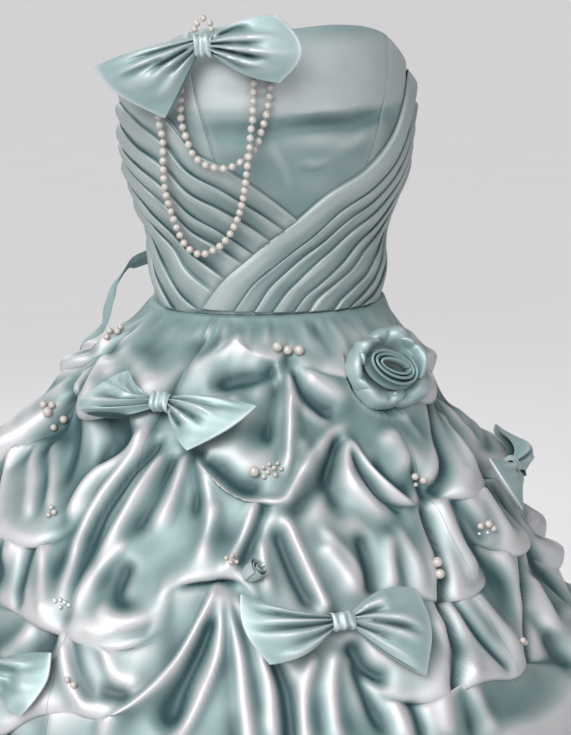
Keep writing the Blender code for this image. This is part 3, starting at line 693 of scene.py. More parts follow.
def clear_of_bodice(point: Array, clearance: float) -> Array:
    """The point, moved out from the axis until it is clear of the bodice."""
    height = min(max(point[2], 0.0), 0.29)
    needed = float(BODICE_FORM.radius(math.degrees(math.atan2(point[0], -point[1])), height)) + clearance
    grow = max(1.0, needed / math.hypot(point[0], point[1]))
    return np.array((point[0] * grow, point[1] * grow, point[2]))


# ---------------------------------------------------------------- skirt
@dataclass(frozen=True)
class Tack:
    """A point where the skirt is picked up, and the cloth from there to the next tack of its ring."""

    azimuth: float
    height: float
    sag: float = 0.03                # how far the cloth's edge sags on the way to the next tack
    bulge: float = 0.03              # how far the cloth stands out there


@dataclass(frozen=True)
class Cloth:
    """The skirt's grid before it is draped: azimuth, height, and distances round and down the bell."""

    azimuth: Array
    height: Array
    radius: Array
    down: Array

    def round_from(self, middle: float) -> Array:
        """Distance round the bell from an azimuth."""
        return self.radius * np.radians(around(self.azimuth - middle))


def bell_down(height: Array | float) -> Array:
    """Distance from the waist down the bell's surface."""
    levels = np.linspace(0.0, -1.03, 413)
    steps = np.hypot(np.diff(levels), np.diff(SKIRT_FORM.radius(0.0, levels)))
    return np.interp(-np.asarray(height), -levels, np.concatenate(([0.0], np.cumsum(steps))))


@dataclass(frozen=True)
class SkirtFold:
    """A ridge or trough, by its route in azimuth and height."""

    route: tuple[tuple[float, float], ...]
    rise: float                      # metres; below 0 it is a trough
    near: float                      # half width at its first point
    far: float                       # half width at its last point
    crisp: float = 0.5               # 0 is a soft roll, 1 a creased edge
    lean: float = 0.0                # above 0 the flank on the right of the route is steeper
    starts: float = 0.15             # shares of the route over which it rises and dies away
    ends: float = 0.35

    def add_to(self, out: Array, cloth: Cloth) -> None:
        """Add how far the fold moves the cloth out."""
        points = np.array(self.route)
        middle = float(points[:, 0].mean())
        keys = np.linspace(0.0, 1.0, len(points))
        s = np.linspace(0.0, 1.0, 1 + 10 * (len(points) - 1))
        azimuth = smooth_through(keys, points[:, 0], s)
        height = smooth_through(keys, points[:, 1], s)
        x = SKIRT_FORM.radius(middle, height) * np.radians(azimuth - middle)
        y = -bell_down(height)
        reach = 3.2 * max(self.near, self.far) * (1 + abs(self.lean))
        across = cloth.round_from(middle)
        near_by = ((across > x.min() - reach) & (across < x.max() + reach)
                   & (-cloth.down > y.min() - reach) & (-cloth.down < y.max() + reach)
                   & (np.abs(around(cloth.azimuth - middle)) < 90.0))
        px, py = across[near_by], -cloth.down[near_by]
        if not px.size:
            return
        run = np.concatenate(([0.0], np.cumsum(np.hypot(np.diff(x), np.diff(y)))))
        best, share, side = np.full(px.shape, np.inf), np.zeros(px.shape), np.ones(px.shape)
        for k in range(len(s) - 1):
            dx, dy = x[k + 1] - x[k], y[k + 1] - y[k]
            length = math.hypot(dx, dy)
            t = np.clip(((px - x[k]) * dx + (py - y[k]) * dy) / length ** 2, 0.0, 1.0)
            ax, ay = px - x[k] - t * dx, py - y[k] - t * dy
            away = np.hypot(ax, ay)
            nearer = away < best
            best = np.where(nearer, away, best)
            share = np.where(nearer, (run[k] + t * length) / run[-1], share)
            side = np.where(nearer, np.sign(ay * dx - ax * dy), side)
        width = (self.near + (self.far - self.near) * share) * (1 + self.lean * side)
        far = best / width
        soft = np.exp(-far ** 2)
        slope = 1 - (np.sqrt(far ** 2 + 0.02) - 0.14) / 1.6
        creased = 0.5 * (slope + np.sqrt(slope ** 2 + 0.015))
        fade = smooth_step(share / self.starts) * smooth_step((1 - share) / self.ends)
        out[near_by] += self.rise * fade * (soft + (creased - soft) * self.crisp)


@dataclass(frozen=True)
class Swag:
    """Cloth that sags over its own lower edge between two tacks, by the edge's route."""

    route: tuple[tuple[float, float], ...]
    bulge: float
    rise: float                      # height over which the cloth swells out above the edge
    fullness: float = 0.6            # below 1 the cloth stands out soon after each tack
    roll: float = 0.42               # radius of the rolled edge, as a share of the bulge

    def add_to(self, out: Array, drop: Array, cloth: Cloth) -> None:
        """Add how far the cloth stands out and how far it hangs down."""
        first, last = self.route[0][0], self.route[-1][0]
        along = (cloth.azimuth - first) % 360.0 / (last - first)
        inside = along <= 1.0
        azimuth = first + along * (last - first)
        edge = smooth_through([a for a, _ in self.route], [h for _, h in self.route], azimuth)
        up = cloth.height - edge
        size = np.where(inside, np.sin(math.pi * np.clip(along, 0.0, 1.0)) ** self.fullness, 0.0)
        radius = self.roll * self.bulge
        begins, ends = 0.7 * radius, 1.1 * radius
        turned = math.pi * np.clip((begins - up) / (begins + ends), 0.0, 1.0)
        below = smooth_step((-ends - up) / 0.030)
        swell = self.bulge * (1 - smooth_step((up - begins) / self.rise))
        inward = radius * (1 - np.cos(turned)) + (self.bulge - 2 * radius) * below
        tucked = (ends + 0.25 * radius) * (1 - np.cos(turned)) / 2 * (1 - below)
        out += size * (swell - inward)
        drop += size * (1.15 * radius * np.sin(turned) - tucked)

    def rim(self) -> SkirtFold:
        """The crease along the rolled edge."""
        route = tuple((a, h + 0.25 * self.roll * self.bulge) for a, h in self.route)
        return SkirtFold(route, 0.11 * self.bulge, 0.0034, 0.0034, 0.9, 0.0, 0.12, 0.12)


def swag_between(left: Tack, right: Tack, rise: float) -> Swag:
    """The swag from one tack of a ring to the next."""
    span = (right.azimuth - left.azimuth) % 360.0
    route = tuple((left.azimuth + span * t, left.height + (right.height - left.height) * t
                   - left.sag * 4 * t * (1 - t)) for t in (0.0, 0.25, 0.5, 0.75, 1.0))
    return Swag(route, left.bulge, rise, 0.7)


def tack_ring(*rows: tuple[float, float, float, float]) -> tuple[Tack, ...]:
    """A ring of tacks from rows of azimuth, height, sag and bulge."""
    return tuple(Tack(*row) for row in rows)


def fold_rows(*rows: tuple) -> tuple[SkirtFold, ...]:
    """Folds from rows of route, rise, near and far half width in millimetres, and what else is given."""
    return tuple(SkirtFold(route, 0.00115 * rise, 0.001 * max(1.25 * near, 3.2), 0.001 * max(1.35 * far, 4.0), *rest)
                 for route, rise, near, far, *rest in rows)


@dataclass
class Skirt:
    """Outer skirt, picked up at tacks, in five gores."""

    hem: float = -1.03
    fine_to: float = -0.365          # rows are close down to here
    fine_step: float = 0.0025
    coarse_rows: int = 44
    thickness: float = 0.0008
    flutes: int = 15
    flute_depth: float = 0.026
    front_lift: float = 0.013        # how far the picked-up cloth stands off the bell in front
    gores: tuple[tuple[str, float, float, int], ...] = (
        ("skirt_front", -8 * 360 / 76, 8 * 360 / 76, 170), ("skirt_side_right", 8 * 360 / 76, 23 * 360 / 76, 124),
        ("skirt_back_right", 23 * 360 / 76, 38 * 360 / 76, 98), ("skirt_back_left", 38 * 360 / 76, 53 * 360 / 76, 98),
        ("skirt_side_left", 53 * 360 / 76, 68 * 360 / 76, 124))
    rises: tuple[float, ...] = (0.055, 0.080, 0.075, 0.080)
    rings: tuple[tuple[Tack, ...], ...] = (
        tack_ring((39.0, -0.060, 0.026, 0.020), (74.0, -0.066, 0.022, 0.029), (112.0, -0.060, 0.024, 0.026),
                  (150.0, -0.058, 0.022, 0.023), (186.0, -0.066, 0.024, 0.026), (222.0, -0.062, 0.024, 0.029),
                  (256.0, -0.056, 0.020, 0.032), (284.0, -0.046, 0.026, 0.026), (322.0, -0.072, 0.0, 0.0)),
        tack_ring((66.0, -0.165, 0.030, 0.043), (98.0, -0.158, 0.036, 0.041), (130.0, -0.166, 0.034, 0.038),
                  (162.0, -0.156, 0.036, 0.041), (196.0, -0.166, 0.034, 0.038), (228.0, -0.158, 0.036, 0.041),
                  (260.0, -0.152, 0.030, 0.041), (287.1, -0.118, 0.0, 0.0)),
        tack_ring((69.0, -0.250, 0.030, 0.038), (82.0, -0.262, 0.036, 0.043), (113.0, -0.254, 0.038, 0.041),
                  (146.0, -0.264, 0.036, 0.041), (178.0, -0.256, 0.038, 0.043), (210.0, -0.264, 0.036, 0.041),
                  (242.0, -0.256, 0.038, 0.043), (274.0, -0.248, 0.034, 0.041), (299.0, -0.252, 0.0, 0.0)),
        tack_ring((52.0, -0.333, 0.026, 0.038), (70.0, -0.352, 0.040, 0.043), (98.0, -0.348, 0.042, 0.043),
                  (129.0, -0.358, 0.040, 0.043), (161.0, -0.350, 0.042, 0.043), (194.0, -0.358, 0.040, 0.043),
                  (226.0, -0.350, 0.042, 0.043), (258.0, -0.344, 0.040, 0.043), (290.0, -0.330, 0.036, 0.041),
                  (316.0, -0.343, 0.0, 0.0)))
    front_tacks: tuple[Tack, ...] = tack_ring(
        (-38.0, -0.074, 0, 0), (1.5, -0.037, 0, 0), (39.0, -0.060, 0, 0), (-72.9, -0.120, 0, 0),
        (-49.2, -0.181, 0, 0), (-24.0, -0.112, 0, 0), (-4.6, -0.147, 0, 0), (37.4, -0.163, 0, 0),
        (-39.0, -0.246, 0, 0), (-12.5, -0.210, 0, 0), (8.8, -0.246, 0, 0), (31.6, -0.243, 0, 0),
        (49.0, -0.222, 0, 0), (-34.8, -0.316, 0, 0), (18.0, -0.320, 0, 0), (44.3, -0.322, 0, 0))
    front_swags: tuple[Swag, ...] = (
        Swag(((-38.0, -0.048), (-24.0, -0.020), (-11.0, -0.031), (1.5, -0.038)), 0.009, 0.036, 0.8),
        Swag(((1.5, -0.038), (13.0, -0.045), (24.0, -0.052), (39.0, -0.060)), 0.010, 0.034, 0.8),
        Swag(((-76.0, -0.084), (-62.0, -0.082), (-50.0, -0.078), (-38.0, -0.078)), 0.018, 0.050),
        Swag(((-26.0, -0.104), (-17.0, -0.128), (-10.0, -0.142), (-3.0, -0.149), (3.0, -0.146)), 0.016, 0.060, 0.8),
        Swag(((-92.0, -0.158), (-80.0, -0.150), (-72.9, -0.122)), 0.028, 0.075),
        Swag(((-76.0, -0.150), (-66.0, -0.192), (-57.0, -0.199), (-53.0, -0.198), (-45.0, -0.178)), 0.020, 0.060),
        Swag(((24.0, -0.150), (31.0, -0.166), (37.4, -0.164)), 0.010, 0.050),
        Swag(((37.4, -0.162), (44.0, -0.168), (52.0, -0.172), (61.0, -0.170)), 0.024, 0.070),
        Swag(((43.0, -0.205), (46.0, -0.213), (50.0, -0.228), (56.0, -0.236), (62.0, -0.238), (69.0, -0.240)),
             0.024, 0.060),
        Swag(((24.0, -0.236), (31.6, -0.247), (38.0, -0.250), (44.0, -0.246)), 0.015, 0.070),
        Swag(((-58.0, -0.250), (-48.0, -0.250), (-43.0, -0.254), (-38.0, -0.257), (-31.0, -0.262), (-27.0, -0.260),
              (-21.0, -0.244)), 0.025, 0.046, 0.7),
        Swag(((-24.0, -0.226), (-19.0, -0.211), (-13.0, -0.208), (-9.0, -0.209), (-5.0, -0.226)), 0.009, 0.032),
        Swag(((-62.0, -0.333), (-52.0, -0.343), (-44.0, -0.341), (-40.0, -0.322), (-34.0, -0.317), (-28.0, -0.315),
              (-20.0, -0.285)), 0.024, 0.052, 0.8),
        Swag(((12.0, -0.301), (18.0, -0.317), (25.0, -0.312), (31.0, -0.310), (38.0, -0.319), (44.0, -0.320),
              (52.0, -0.334)), 0.024, 0.062, 0.8),
        Swag(((-44.0, -0.372), (-34.0, -0.385), (-20.0, -0.372), (-10.0, -0.352)), 0.020, 0.060),
        Swag(((-10.0, -0.352), (4.0, -0.390), (18.0, -0.380), (26.0, -0.366)), 0.020, 0.060),
        Swag(((26.0, -0.366), (38.0, -0.392), (52.0, -0.384), (64.0, -0.362)), 0.022, 0.060))
    front_folds: tuple[SkirtFold, ...] = fold_rows(
        # route, rise, near, far, crisp, lean, starts, ends
        # under the waist
        (((-40.0, -0.003), (-38.5, -0.012), (-39.5, -0.022)), 2.6, 1.0, 1.5, 0.9, 0.0, 0.1, 0.3),
        (((-33.0, -0.003), (-32.0, -0.010), (-30.0, -0.017)), 2.4, 1.0, 1.5, 0.9, 0.0, 0.1, 0.3),
        (((-21.0, -0.003), (-20.5, -0.010)), 2.2, 1.0, 1.5, 0.8, 0.0, 0.1, 0.3),
        (((-17.0, -0.003), (-18.0, -0.012), (-16.0, -0.020)), 2.4, 1.0, 1.5, 0.9, 0.0, 0.1, 0.3),
        (((-38.0, -0.006), (-36.0, -0.030)), 1.6, 1.5, 3.0, 0.7),
        (((-30.0, -0.006), (-29.0, -0.026)), 1.5, 1.5, 2.5, 0.7),
        (((-43.0, -0.012), (-37.0, -0.024), (-30.0, -0.030)), -5.0, 9.0, 12.0, 0.0, 0.0, 0.4, 0.4),
        (((-24.0, -0.013), (-24.0, -0.040)), 3.0, 1.5, 6.0, 0.8),
        (((-24.0, -0.013), (-18.0, -0.028), (-8.0, -0.035), (1.0, -0.038)), 2.5, 2.0, 3.0, 0.8, 0.3, 0.1, 0.1),
        (((-24.0, -0.014), (-15.0, -0.038)), 2.2, 1.5, 5.0, 0.8),
        (((-10.0, -0.005), (-8.0, -0.024)), 1.6, 2.0, 4.0, 0.4),
        (((10.0, -0.005), (12.0, -0.030)), 2.0, 2.5, 5.0, 0.4),
        (((17.0, -0.004), (20.0, -0.040)), -2.5, 3.0, 6.0, 0.3),
        (((26.0, -0.004), (28.0, -0.036)), 2.0, 2.5, 4.0, 0.5),
        (((-86.0, -0.020), (-78.0, -0.050), (-75.0, -0.074)), 4.0, 3.0, 5.0, 0.8, 0.0, 0.2, 0.1),
        (((-76.0, -0.046), (-64.0, -0.058)), 3.0, 2.0, 5.0, 0.7),
        (((-80.0, -0.042), (-82.0, -0.070)), -4.0, 3.0, 6.0, 0.4),
        # left panel
        (((-76.0, -0.073), (-82.0, -0.108), (-75.0, -0.125)), 5.0, 4.0, 5.0, 0.7),
        (((-75.0, -0.080), (-63.0, -0.107), (-57.0, -0.138), (-53.0, -0.164)), -4.0, 2.5, 4.0, 0.6, 0.3),
        (((-73.0, -0.128), (-64.0, -0.152), (-56.0, -0.178)), 5.0, 2.5, 5.0, 0.9, 0.0, 0.1, 0.2),
        (((-71.0, -0.126), (-61.0, -0.152), (-54.5, -0.176)), -4.0, 1.5, 3.0, 0.6, 0.0, 0.1, 0.2),
        (((-69.0, -0.124), (-58.0, -0.150), (-53.0, -0.172)), 3.5, 2.0, 4.0, 0.9, 0.0, 0.1, 0.2),
        (((-74.0, -0.122), (-80.0, -0.150), (-84.0, -0.190)), -5.0, 3.0, 8.0, 0.3),
        (((-73.0, -0.124), (-74.0, -0.150), (-72.0, -0.176)), 5.0, 3.0, 7.0, 0.6),
        # pocket and long pleats below the hip bow
        (((-58.0, -0.092), (-48.0, -0.106), (-42.0, -0.100)), -13.0, 10.0, 10.0, 0.0, 0.0, 0.25, 0.3),
        (((-48.0, -0.112), (-49.0, -0.130)), -7.0, 9.0, 4.0, 0.2, 0.0, 0.2, 0.4),
        (((-38.0, -0.094), (-43.0, -0.116), (-49.0, -0.144), (-47.0, -0.182)), 8.0, 2.5, 6.0, 0.9, 0.45, 0.1, 0.25),
        (((-37.0, -0.100), (-42.0, -0.140), (-43.5, -0.180), (-41.5, -0.222), (-40.0, -0.244)), 6.5, 2.0, 5.0, 0.95,
         -0.3, 0.08, 0.15),
        (((-34.0, -0.099), (-39.0, -0.140), (-41.0, -0.177), (-40.0, -0.215)), -7.0, 3.5, 6.0, 0.3, 0.0, 0.1, 0.3),
        (((-32.0, -0.112), (-34.0, -0.142), (-36.0, -0.176), (-38.0, -0.216), (-38.5, -0.243)), 6.5, 2.0, 6.0, 0.9,
         0.3, 0.08, 0.15),
        (((-29.0, -0.112), (-30.0, -0.150), (-33.0, -0.184)), -6.0, 3.0, 7.0, 0.2, 0.0, 0.1, 0.3),
        (((-26.0, -0.113), (-25.5, -0.149), (-28.0, -0.178)), 5.0, 1.8, 6.0, 0.9, 0.0, 0.08, 0.3),
        (((-24.0, -0.114), (-20.0, -0.140), (-19.0, -0.164)), -4.5, 2.0, 4.0, 0.6, 0.0, 0.1, 0.3),
        (((-22.0, -0.120), (-17.0, -0.150), (-16.0, -0.176)), 4.0, 2.0, 6.0, 0.6, 0.0, 0.1, 0.35),
        (((-32.0, -0.180), (-36.0, -0.212), (-35.0, -0.230)), 5.0, 4.0, 4.0, 0.8, -0.3, 0.2, 0.3),
        (((-31.0, -0.196), (-31.0, -0.226), (-26.0, -0.232)), -5.0, 5.0, 5.0, 0.2),
        (((-34.0, -0.232), (-28.0, -0.240), (-23.0, -0.236)), 4.0, 4.0, 4.0, 0.5),
        # dark swag trough and its rim
        (((-25.0, -0.110), (-17.0, -0.128), (-11.0, -0.140), (-4.6, -0.147), (1.0, -0.147), (5.0, -0.128),
          (12.0, -0.107), (18.0, -0.096), (25.0, -0.090)), 7.0, 3.0, 4.0, 0.9, -0.3, 0.1, 0.15),
        (((0.0, -0.166), (8.0, -0.142), (14.0, -0.124), (20.0, -0.112)), -7.0, 7.0, 6.0, 0.1, 0.0, 0.3, 0.3),
        (((-20.0, -0.108), (-14.0, -0.120), (-9.0, -0.130), (-3.0, -0.134)), -9.0, 7.0, 9.0, 0.1, 0.0, 0.25, 0.3),
        (((-23.0, -0.106), (-20.0, -0.114), (-17.0, -0.108)), -5.0, 4.0, 3.0, 0.3),
        (((-2.0, -0.050), (-3.5, -0.080), (-4.0, -0.112)), -8.0, 5.0, 8.0, 0.25, -0.4, 0.15, 0.3),
        (((-28.0, -0.058), (-18.0, -0.050), (-10.0, -0.050), (-2.0, -0.045)), -8.0, 7.0, 6.0, 0.2, 0.0, 0.3, 0.1),
        (((-20.0, -0.066), (-14.0, -0.074), (-8.0, -0.092)), 5.0, 4.0, 9.0, 0.3),
        # from the front pearls
        (((1.8, -0.046), (2.0, -0.070), (2.0, -0.100), (1.5, -0.134)), 8.0, 2.0, 6.0, 0.95, 0.35, 0.1, 0.25),
        (((2.0, -0.064), (8.0, -0.078), (17.0, -0.091)), 4.0, 2.0, 4.0, 0.8, -0.3, 0.1, 0.2),
        (((3.0, -0.046), (9.0, -0.066), (18.0, -0.088)), -6.5, 3.0, 7.0, 0.3, 0.0, 0.1, 0.2),
        (((8.0, -0.050), (18.0, -0.066), (26.0, -0.078)), 4.0, 3.0, 7.0, 0.4),
        (((6.0, -0.100), (7.0, -0.118), (5.0, -0.134)), 4.0, 4.0, 6.0, 0.5),
        # right of the centre
        (((19.0, -0.096), (14.0, -0.124), (13.0, -0.150), (15.0, -0.176)), -11.0, 6.0, 10.0, 0.1, 0.0, 0.15, 0.35),
        (((21.0, -0.098), (17.0, -0.130), (21.0, -0.156), (27.0, -0.186)), 8.0, 4.0, 8.0, 0.5, 0.0, 0.15, 0.3),
        (((21.0, -0.106), (25.0, -0.135), (33.0, -0.172)), 7.0, 2.5, 4.5, 0.9, -0.4, 0.1, 0.2),
        (((20.5, -0.112), (24.0, -0.146), (30.5, -0.180)), -7.0, 3.0, 5.0, 0.4, 0.0, 0.1, 0.2),
        (((26.0, -0.120), (29.0, -0.140), (34.0, -0.160)), -6.0, 6.0, 8.0, 0.1, 0.0, 0.2, 0.2),
        (((32.0, -0.100), (35.0, -0.120), (36.5, -0.145)), 7.0, 10.0, 10.0, 0.1, 0.0, 0.3, 0.3),
        (((41.0, -0.090), (43.0, -0.108), (44.0, -0.124)), 2.5, 1.5, 3.0, 0.9),
        (((60.0, -0.094), (50.0, -0.125), (43.0, -0.148), (38.5, -0.162)), -12.0, 5.0, 4.0, 0.5, 0.3, 0.15, 0.1),
        (((66.0, -0.112), (59.0, -0.136), (52.0, -0.158)), 8.0, 6.0, 7.0, 0.4, 0.0, 0.15, 0.3),
        (((40.0, -0.164), (47.0, -0.160), (53.0, -0.150)), 3.0, 2.0, 4.0, 0.7),
        # between the lower tacks, right
        (((8.0, -0.168), (14.0, -0.203), (14.5, -0.236)), 4.5, 3.0, 5.0, 0.9, -0.3, 0.2, 0.2),
        (((0.0, -0.160), (5.0, -0.214), (7.5, -0.244)), 6.0, 3.0, 3.0, 0.95, 0.4, 0.15, 0.1),
        (((-2.0, -0.166), (2.5, -0.215), (5.0, -0.240)), -8.0, 5.0, 5.0, 0.2, 0.0, 0.15, 0.2),
        (((8.0, -0.182), (12.0, -0.214), (12.0, -0.236)), 5.0, 5.0, 5.0, 0.3),
        (((17.0, -0.176), (17.5, -0.206), (16.0, -0.236)), -9.0, 6.0, 8.0, 0.15, 0.0, 0.2, 0.2),
        (((24.0, -0.182), (22.0, -0.210), (20.5, -0.236)), 4.5, 5.0, 4.0, 0.9),
        (((26.0, -0.178), (27.0, -0.212), (25.5, -0.240)), 4.0, 4.0, 5.0, 0.9),
        (((36.0, -0.170), (34.5, -0.205), (31.5, -0.240), (28.5, -0.280), (24.0, -0.318)), -14.0, 4.0, 5.0, 0.4, 0.0,
         0.1, 0.1),
        (((38.5, -0.170), (39.5, -0.200), (40.0, -0.240)), 8.0, 6.0, 7.0, 0.5, 0.0, 0.15, 0.2),
        (((43.0, -0.176), (46.0, -0.200), (48.0, -0.220)), -6.0, 5.0, 4.0, 0.3),
        (((51.0, -0.176), (53.0, -0.204), (52.0, -0.228)), 8.0, 7.0, 7.0, 0.2),
        (((45.0, -0.221), (48.0, -0.240), (51.0, -0.256)), 3.0, 1.5, 3.0, 0.9),
        (((50.0, -0.230), (50.0, -0.262), (46.0, -0.300)), 7.0, 6.0, 9.0, 0.3),
        (((60.0, -0.238), (56.0, -0.262), (48.0, -0.296), (43.0, -0.320)), -13.0, 4.0, 5.0, 0.5, 0.0, 0.1, 0.1),
        (((60.0, -0.270), (56.0, -0.292), (50.0, -0.318)), 9.0, 6.0, 6.0, 0.5),
        (((33.0, -0.250), (34.5, -0.284), (37.0, -0.316)), -7.0, 3.0, 5.0, 0.4, 0.0, 0.1, 0.2),
        (((38.0, -0.254), (40.0, -0.286), (40.0, -0.318)), 6.0, 5.0, 6.0, 0.6),
        (((28.0, -0.256), (28.0, -0.284), (29.5, -0.313)), 6.0, 6.0, 7.0, 0.3),
        # lower left
        (((-52.0, -0.200), (-46.0, -0.226), (-43.0, -0.247)), 6.0, 2.0, 3.5, 0.9, 0.3, 0.1, 0.15),
        (((-54.0, -0.202), (-51.0, -0.232), (-48.0, -0.248)), -7.0, 4.0, 5.0, 0.2, 0.0, 0.1, 0.2),
        (((-58.0, -0.206), (-58.0, -0.230)), 5.0, 6.0, 6.0, 0.2),
        (((-37.0, -0.252), (-32.0, -0.256), (-27.0, -0.250), (-23.0, -0.244)), -4.5, 1.6, 2.5, 0.7, 0.0, 0.15, 0.1),
        (((-40.0, -0.266), (-42.0, -0.290), (-44.0, -0.318)), -6.0, 3.0, 8.0, 0.3, 0.0, 0.1, 0.2),
        (((-40.0, -0.264), (-36.0, -0.290), (-31.0, -0.316)), 5.0, 2.0, 4.0, 0.9, 0.0, 0.1, 0.2),
        (((-38.5, -0.266), (-34.0, -0.290), (-30.0, -0.306)), -4.0, 2.0, 5.0, 0.3, 0.0, 0.1, 0.2),
        (((-38.0, -0.268), (-32.0, -0.272), (-29.0, -0.286), (-26.5, -0.292), (-23.0, -0.284)), 5.0, 3.0, 4.0, 0.8,
         0.4, 0.15, 0.2),
        (((-31.0, -0.298), (-25.0, -0.296)), -6.0, 4.0, 5.0, 0.2, 0.0, 0.3, 0.3),
        (((-45.0, -0.270), (-52.0, -0.300)), 5.0, 4.0, 8.0, 0.4),
        # the big S ridge and what falls beside it
        (((-13.0, -0.214), (-15.0, -0.234), (-19.0, -0.273), (-23.5, -0.300), (-28.0, -0.320), (-30.0, -0.345)), 10.0,
         2.5, 5.0, 0.9, 0.45, 0.06, 0.15),
        (((-12.0, -0.216), (-12.0, -0.263), (-14.5, -0.300), (-18.0, -0.335), (-20.0, -0.360)), 7.0, 2.0, 4.0, 0.9,
         -0.5, 0.08, 0.15),
        (((-13.5, -0.236), (-17.5, -0.286), (-20.5, -0.330)), -10.0, 4.0, 9.0, 0.1, 0.0, 0.12, 0.2),
        (((-11.5, -0.216), (-9.0, -0.263), (-8.0, -0.326), (-9.0, -0.370)), 6.0, 2.0, 6.0, 0.6, 0.0, 0.08, 0.2),
        (((-10.0, -0.220), (-6.0, -0.250), (-3.8, -0.290), (-4.0, -0.340)), 6.0, 2.5, 4.0, 0.9, -0.4, 0.08, 0.2),
        (((-4.0, -0.262), (-1.5, -0.300), (-2.0, -0.350)), -9.0, 4.0, 6.0, 0.3, 0.0, 0.15, 0.2),
        (((-5.0, -0.150), (-8.0, -0.172), (-12.0, -0.203)), 5.0, 2.0, 3.0, 0.9, 0.0, 0.1, 0.12),
        (((-3.0, -0.152), (-6.0, -0.176), (-9.5, -0.200)), -5.0, 3.0, 4.0, 0.3, 0.0, 0.1, 0.15),
        (((-15.0, -0.150), (-16.0, -0.176), (-17.0, -0.200)), 5.0, 6.0, 6.0, 0.2),
        (((-20.0, -0.216), (-14.0, -0.213), (-9.0, -0.213)), -7.0, 2.0, 2.5, 0.4, 0.0, 0.15, 0.15),
        (((-5.0, -0.176), (-4.0, -0.200), (-3.0, -0.226)), 5.0, 3.0, 4.0, 0.6),
        # below the lower bow
        (((10.0, -0.262), (12.0, -0.284), (16.0, -0.300)), -11.0, 6.0, 6.0, 0.1, 0.0, 0.15, 0.3),
        (((10.0, -0.278), (11.0, -0.308), (12.5, -0.345)), -7.0, 3.0, 5.0, 0.3),
        (((7.5, -0.268), (5.5, -0.300), (5.0, -0.345)), 6.0, 3.0, 6.0, 0.6, 0.0, 0.1, 0.2),
        (((4.0, -0.268), (1.0, -0.300), (0.0, -0.345)), 5.0, 3.0, 6.0, 0.5, 0.0, 0.1, 0.2),
        (((15.0, -0.312), (15.0, -0.350)), 5.0, 3.0, 5.0, 0.7),
        (((18.0, -0.318), (17.5, -0.355)), -7.0, 3.0, 4.0, 0.4),
        (((28.0, -0.324), (30.0, -0.362)), 4.0, 4.0, 7.0, 0.5),
        (((23.0, -0.322), (21.0, -0.352)), 4.0, 4.0, 6.0, 0.5))
    shape: Array | None = None       # the finished grid
    tree: BVHTree | None = None

    # -------- the cloth as it hangs
    def hem_flutes(self, azimuth: Array, height: Array) -> Array:
        """How far the hem's flutes stand out."""
        fall = smooth_step((-height - 0.36) / 0.5)
        waves = np.cos(np.radians(self.flutes * azimuth + 40 * np.sin(np.radians(2 * azimuth))))
        return self.flute_depth * fall * waves

    @staticmethod
    def rays(tack: Tack, seed: float) -> list[SkirtFold]:
        """Folds that run out from a tack, like those on the front."""
        folds = []
        radius = float(SKIRT_FORM.radius(tack.azimuth, tack.height))
        turns = (-74, -46, -22, 4, 27, 52, 78, 128, 158, 186, 214)
        for k, turn in enumerate(turns):
            above = turn > 100
            chance = float(uneven(seed, np.array(0.37 * k)))
            angle = math.radians(turn + 11 * chance)
            length = (0.034 if above else 0.105 - 0.0006 * abs(turn)) * (1 + 0.35 * chance)
            ends = []
            for share in (0.07, 0.5, 1.0):
                bend = angle + 0.22 * chance * share
                ends.append((tack.azimuth + math.degrees(length * share * math.sin(bend) / radius) * (0.8 if not above else 1),
                             tack.height - 0.78 * length * share * math.cos(bend)))
            rise = (0.0030 if above else 0.0062) * (1 + 0.4 * chance) * (1 if k % 2 == 0 else -0.9)
            folds.append(SkirtFold(tuple(ends), rise, 0.0020, 0.0035 if above else 0.0078,
                                   0.85 if rise > 0 else 0.3, 0.3 * chance, 0.10, 0.45))
        return folds

    @staticmethod
    def swag_folds(left: Tack, right: Tack, rise: float, seed: float) -> list[SkirtFold]:
        """Soft folds that hang from tack to tack above a swag's edge."""
        folds = []
        span = (right.azimuth - left.azimuth) % 360.0
        for k, up in enumerate((0.16, 0.36, 0.60)):
            chance = float(uneven(seed + 3, np.array(0.53 * k)))
            route = tuple((left.azimuth + span * t, left.height + (right.height - left.height) * t
                           - left.sag * (1 - 0.6 * up) * 4 * t * (1 - t) + rise * up * math.sin(math.pi * t) ** 0.5)
                          for t in (0.06, 0.3 + 0.06 * chance, 0.62, 0.94))
            folds.append(SkirtFold(route, 0.0036 * (1 + 0.5 * chance) * (-1 if k == 1 else 1), 0.003, 0.005,
                                   0.5, 0.3 * chance, 0.25, 0.25))
        return folds

    @staticmethod
    def long_folds(azimuth: float, seed: float) -> list[SkirtFold]:
        """Folds that fall from a tack of the lowest ring towards the hem."""
        folds = []
        for k, aside in enumerate((-7.0, -2.5, 2.0, 7.5, 13.0)):
            chance = float(uneven(seed, np.array(0.41 * k)))
            top, foot = -0.375 - 0.01 * abs(chance), -0.80 - 0.16 * chance
            route = ((azimuth + 0.35 * aside, top), (azimuth + 0.8 * aside, -0.5),
                     (azimuth + 1.1 * aside + 2 * chance, foot))
            rise = 0.008 * (1 + 0.5 * chance) * (-1 if k % 2 else 1)
            folds.append(SkirtFold(route, rise, 0.006, 0.022 + 0.006 * chance, 0.6, 0.3 * chance, 0.12, 0.5))
        return folds

